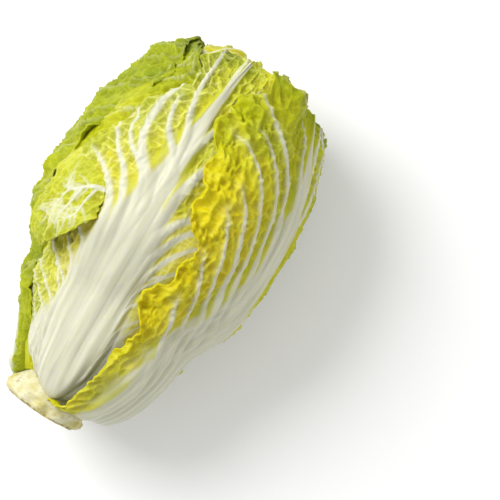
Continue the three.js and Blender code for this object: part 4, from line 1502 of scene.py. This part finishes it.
class CabbageStage(bpy.types.PropertyGroup):
    """The floor, the lights and the camera"""

    __annotations__ = {key: size_property(key, *about) for key, about in STAGE.items()}
    __annotations__["floor_colour"] = colour_property("floor_colour", "The floor", (253, 253, 253))


class CABBAGE_OT_inner_leaves(bpy.types.Operator):
    """Makes the three leaves that lie under the outer ones"""

    bl_idname = "cabbage.inner_leaves"
    bl_label = "Inner leaves"

    def execute(self, context):
        names = ["leaf_inner_right", "leaf_inner_back", "leaf_inner_left"]
        make_leaves(names, leaf_material("inner_leaf_tissue", colour("yellow_line"), 0.9))
        return {"FINISHED"}


class CABBAGE_OT_outer_leaves(bpy.types.Operator):
    """Makes the outer leaves and the loose lobe on the front one"""

    bl_idname = "cabbage.outer_leaves"
    bl_label = "Outer leaves"

    def execute(self, context):
        front = leaf_material("front_leaf_tissue", colour("pale_line"), 1.0)
        outer = leaf_material("outer_leaf_tissue", colour("yellow_line"), 1.0)
        make_leaves(["leaf_far_right"], outer)
        make_leaves(["leaf_front"], front)
        make_leaves(["leaf_left", "leaf_right", "leaf_under"], outer)
        face = lobe_sheet(laid_head()["front_lobe"], LOBE_QUADS)
        dress(sheet_piece("leaf_front_lobe", face, LOBE_QUADS, front), "leaf_front")
        return {"FINISHED"}


class CABBAGE_OT_heart(bpy.types.Operator):
    """Makes the heart: its core and the small leaves that close over it"""

    bl_idname = "cabbage.heart"
    bl_label = "Heart"

    def execute(self, context):
        core = spun_piece("heart_core", core_outline(), CORE_STEPS, core_shape, core_marks,
                          core_material())
        dress(core, "heart")
        material = leaf_material("heart_leaf_tissue", colour("yellow_line"), 0.7)
        for one in HEART_LEAVES:
            _, _, cover, close = laid_head()[one.name]
            face = leaf_sheet(one, LEAVES, cover, close, HEART_QUADS)
            dress(sheet_piece(one.name, face, HEART_QUADS, material), "heart")
        return {"FINISHED"}


class CABBAGE_OT_stump(bpy.types.Operator):
    """Makes the cut stem with its leaf scars"""

    bl_idname = "cabbage.stump"
    bl_label = "Stump"

    def execute(self, context):
        stump = spun_piece("stump_cut", stump_outline(), STUMP_STEPS, stump_shape, stump_marks,
                           stump_material())
        dress(stump, "stump")
        return {"FINISHED"}


# The camera looks straight down and is rolled, so that the head's tip points up to the right.
# VIEW_CENTRE is the place under the middle of the picture.
VIEW_CENTRE = (0.031, -0.0645)
ROLL = math.radians(56.5)
MIDDLE_HEIGHT = 0.085
SENSOR_WIDTH = 36.0


def soft_light(name, place, size, power):
    """A round soft light that shines on the middle of the head."""
    data = bpy.data.lights.new(name, "AREA")
    data.shape = "DISK"
    data.size = size
    data.energy = power
    light = bpy.data.objects.new(name, data)
    bpy.context.collection.objects.link(light)
    light.location = place
    way = Vector((0.0, 0.0, MIDDLE_HEIGHT)) - Vector(place)
    light.rotation_euler = way.to_track_quat("-Z", "Y").to_euler()


def make_floor(stage):
    """The floor under the head."""
    bm = bmesh.new()
    bmesh.ops.create_grid(bm, x_segments=1, y_segments=1, size=stage.floor_size / 2)
    mesh = mesh_from(bm, "floor")
    mesh.materials.append(floor_material())
    floor = bpy.data.objects.new("floor", mesh)
    bpy.context.collection.objects.link(floor)


def make_camera(stage):
    """The scene's camera."""
    data = bpy.data.cameras.new("camera")
    data.sensor_width = SENSOR_WIDTH
    data.lens = SENSOR_WIDTH * stage.camera_distance / stage.view_width
    data.clip_start, data.clip_end = 0.05, 20.0
    camera = bpy.data.objects.new("camera", data)
    bpy.context.collection.objects.link(camera)
    right = (math.cos(ROLL), -math.sin(ROLL), 0.0)
    up = (math.sin(ROLL), math.cos(ROLL), 0.0)
    turn = Matrix((right, up, (0.0, 0.0, 1.0))).transposed().to_4x4()
    place = (*VIEW_CENTRE, MIDDLE_HEIGHT + stage.camera_distance)
    camera.matrix_world = Matrix.Translation(place) @ turn
    bpy.context.scene.camera = camera


def make_surroundings(stage):
    """The pale light from all around."""
    world = bpy.data.worlds.new("pale_surroundings")
    world.use_nodes = True
    tree = world.node_tree
    feed(tree, tree.nodes["Background"], Color=(1.0, 1.0, 1.0), Strength=stage.surroundings)
    bpy.context.scene.world = world


class CABBAGE_OT_stage(bpy.types.Operator):
    """Makes the floor, the soft lights, the surroundings and the camera"""

    bl_idname = "cabbage.stage"
    bl_label = "Stage"

    def execute(self, context):
        stage = context.scene.cabbage_stage
        make_floor(stage)
        make_camera(stage)
        soft_light("key_light", (0.15, 0.95, 1.1), 0.9, stage.key_power)
        soft_light("fill_light", (0.5, -0.9, 1.2), 1.2, stage.fill_power)
        make_surroundings(stage)
        context.scene.view_settings.view_transform = "Standard"
        context.scene.view_settings.look = "None"
        return {"FINISHED"}


STEPS = (
    CABBAGE_OT_stump,
    CABBAGE_OT_heart,
    CABBAGE_OT_inner_leaves,
    CABBAGE_OT_outer_leaves,
    CABBAGE_OT_stage,
)
GROUPS = {
    "cabbage_sizes": CabbageSizes,
    "cabbage_colours": CabbageColours,
    "cabbage_stage": CabbageStage,
}


class VIEW3D_PT_cabbage(bpy.types.Panel):
    """Lists the pieces of the head in the order they are made"""

    bl_idname = "VIEW3D_PT_cabbage"
    bl_label = "Napa cabbage"
    bl_space_type = "VIEW_3D"
    bl_region_type = "UI"
    bl_category = "Cabbage"

    def draw(self, context):
        for step in STEPS:
            self.layout.operator(step.bl_idname)
        for name, group in GROUPS.items():
            box = self.layout.box()
            for key in group.__annotations__:
                box.prop(getattr(context.scene, name), key)


def register():
    """Adds the properties, the steps and the panel to Blender."""
    for group in (*GROUPS.values(), *STEPS, VIEW3D_PT_cabbage):
        bpy.utils.register_class(group)
    for key, group in GROUPS.items():
        setattr(bpy.types.Scene, key, bpy.props.PointerProperty(type=group))


def unregister():
    """Takes them out again."""
    for key in GROUPS:
        delattr(bpy.types.Scene, key)
    for group in (VIEW3D_PT_cabbage, *reversed(STEPS), *GROUPS.values()):
        bpy.utils.unregister_class(group)


def main():
    """Makes the whole head."""
    register()
    bpy.ops.cabbage.stump()
    bpy.ops.cabbage.heart()
    bpy.ops.cabbage.inner_leaves()
    bpy.ops.cabbage.outer_leaves()
    bpy.ops.cabbage.stage()


if __name__ == "__main__":
    main()
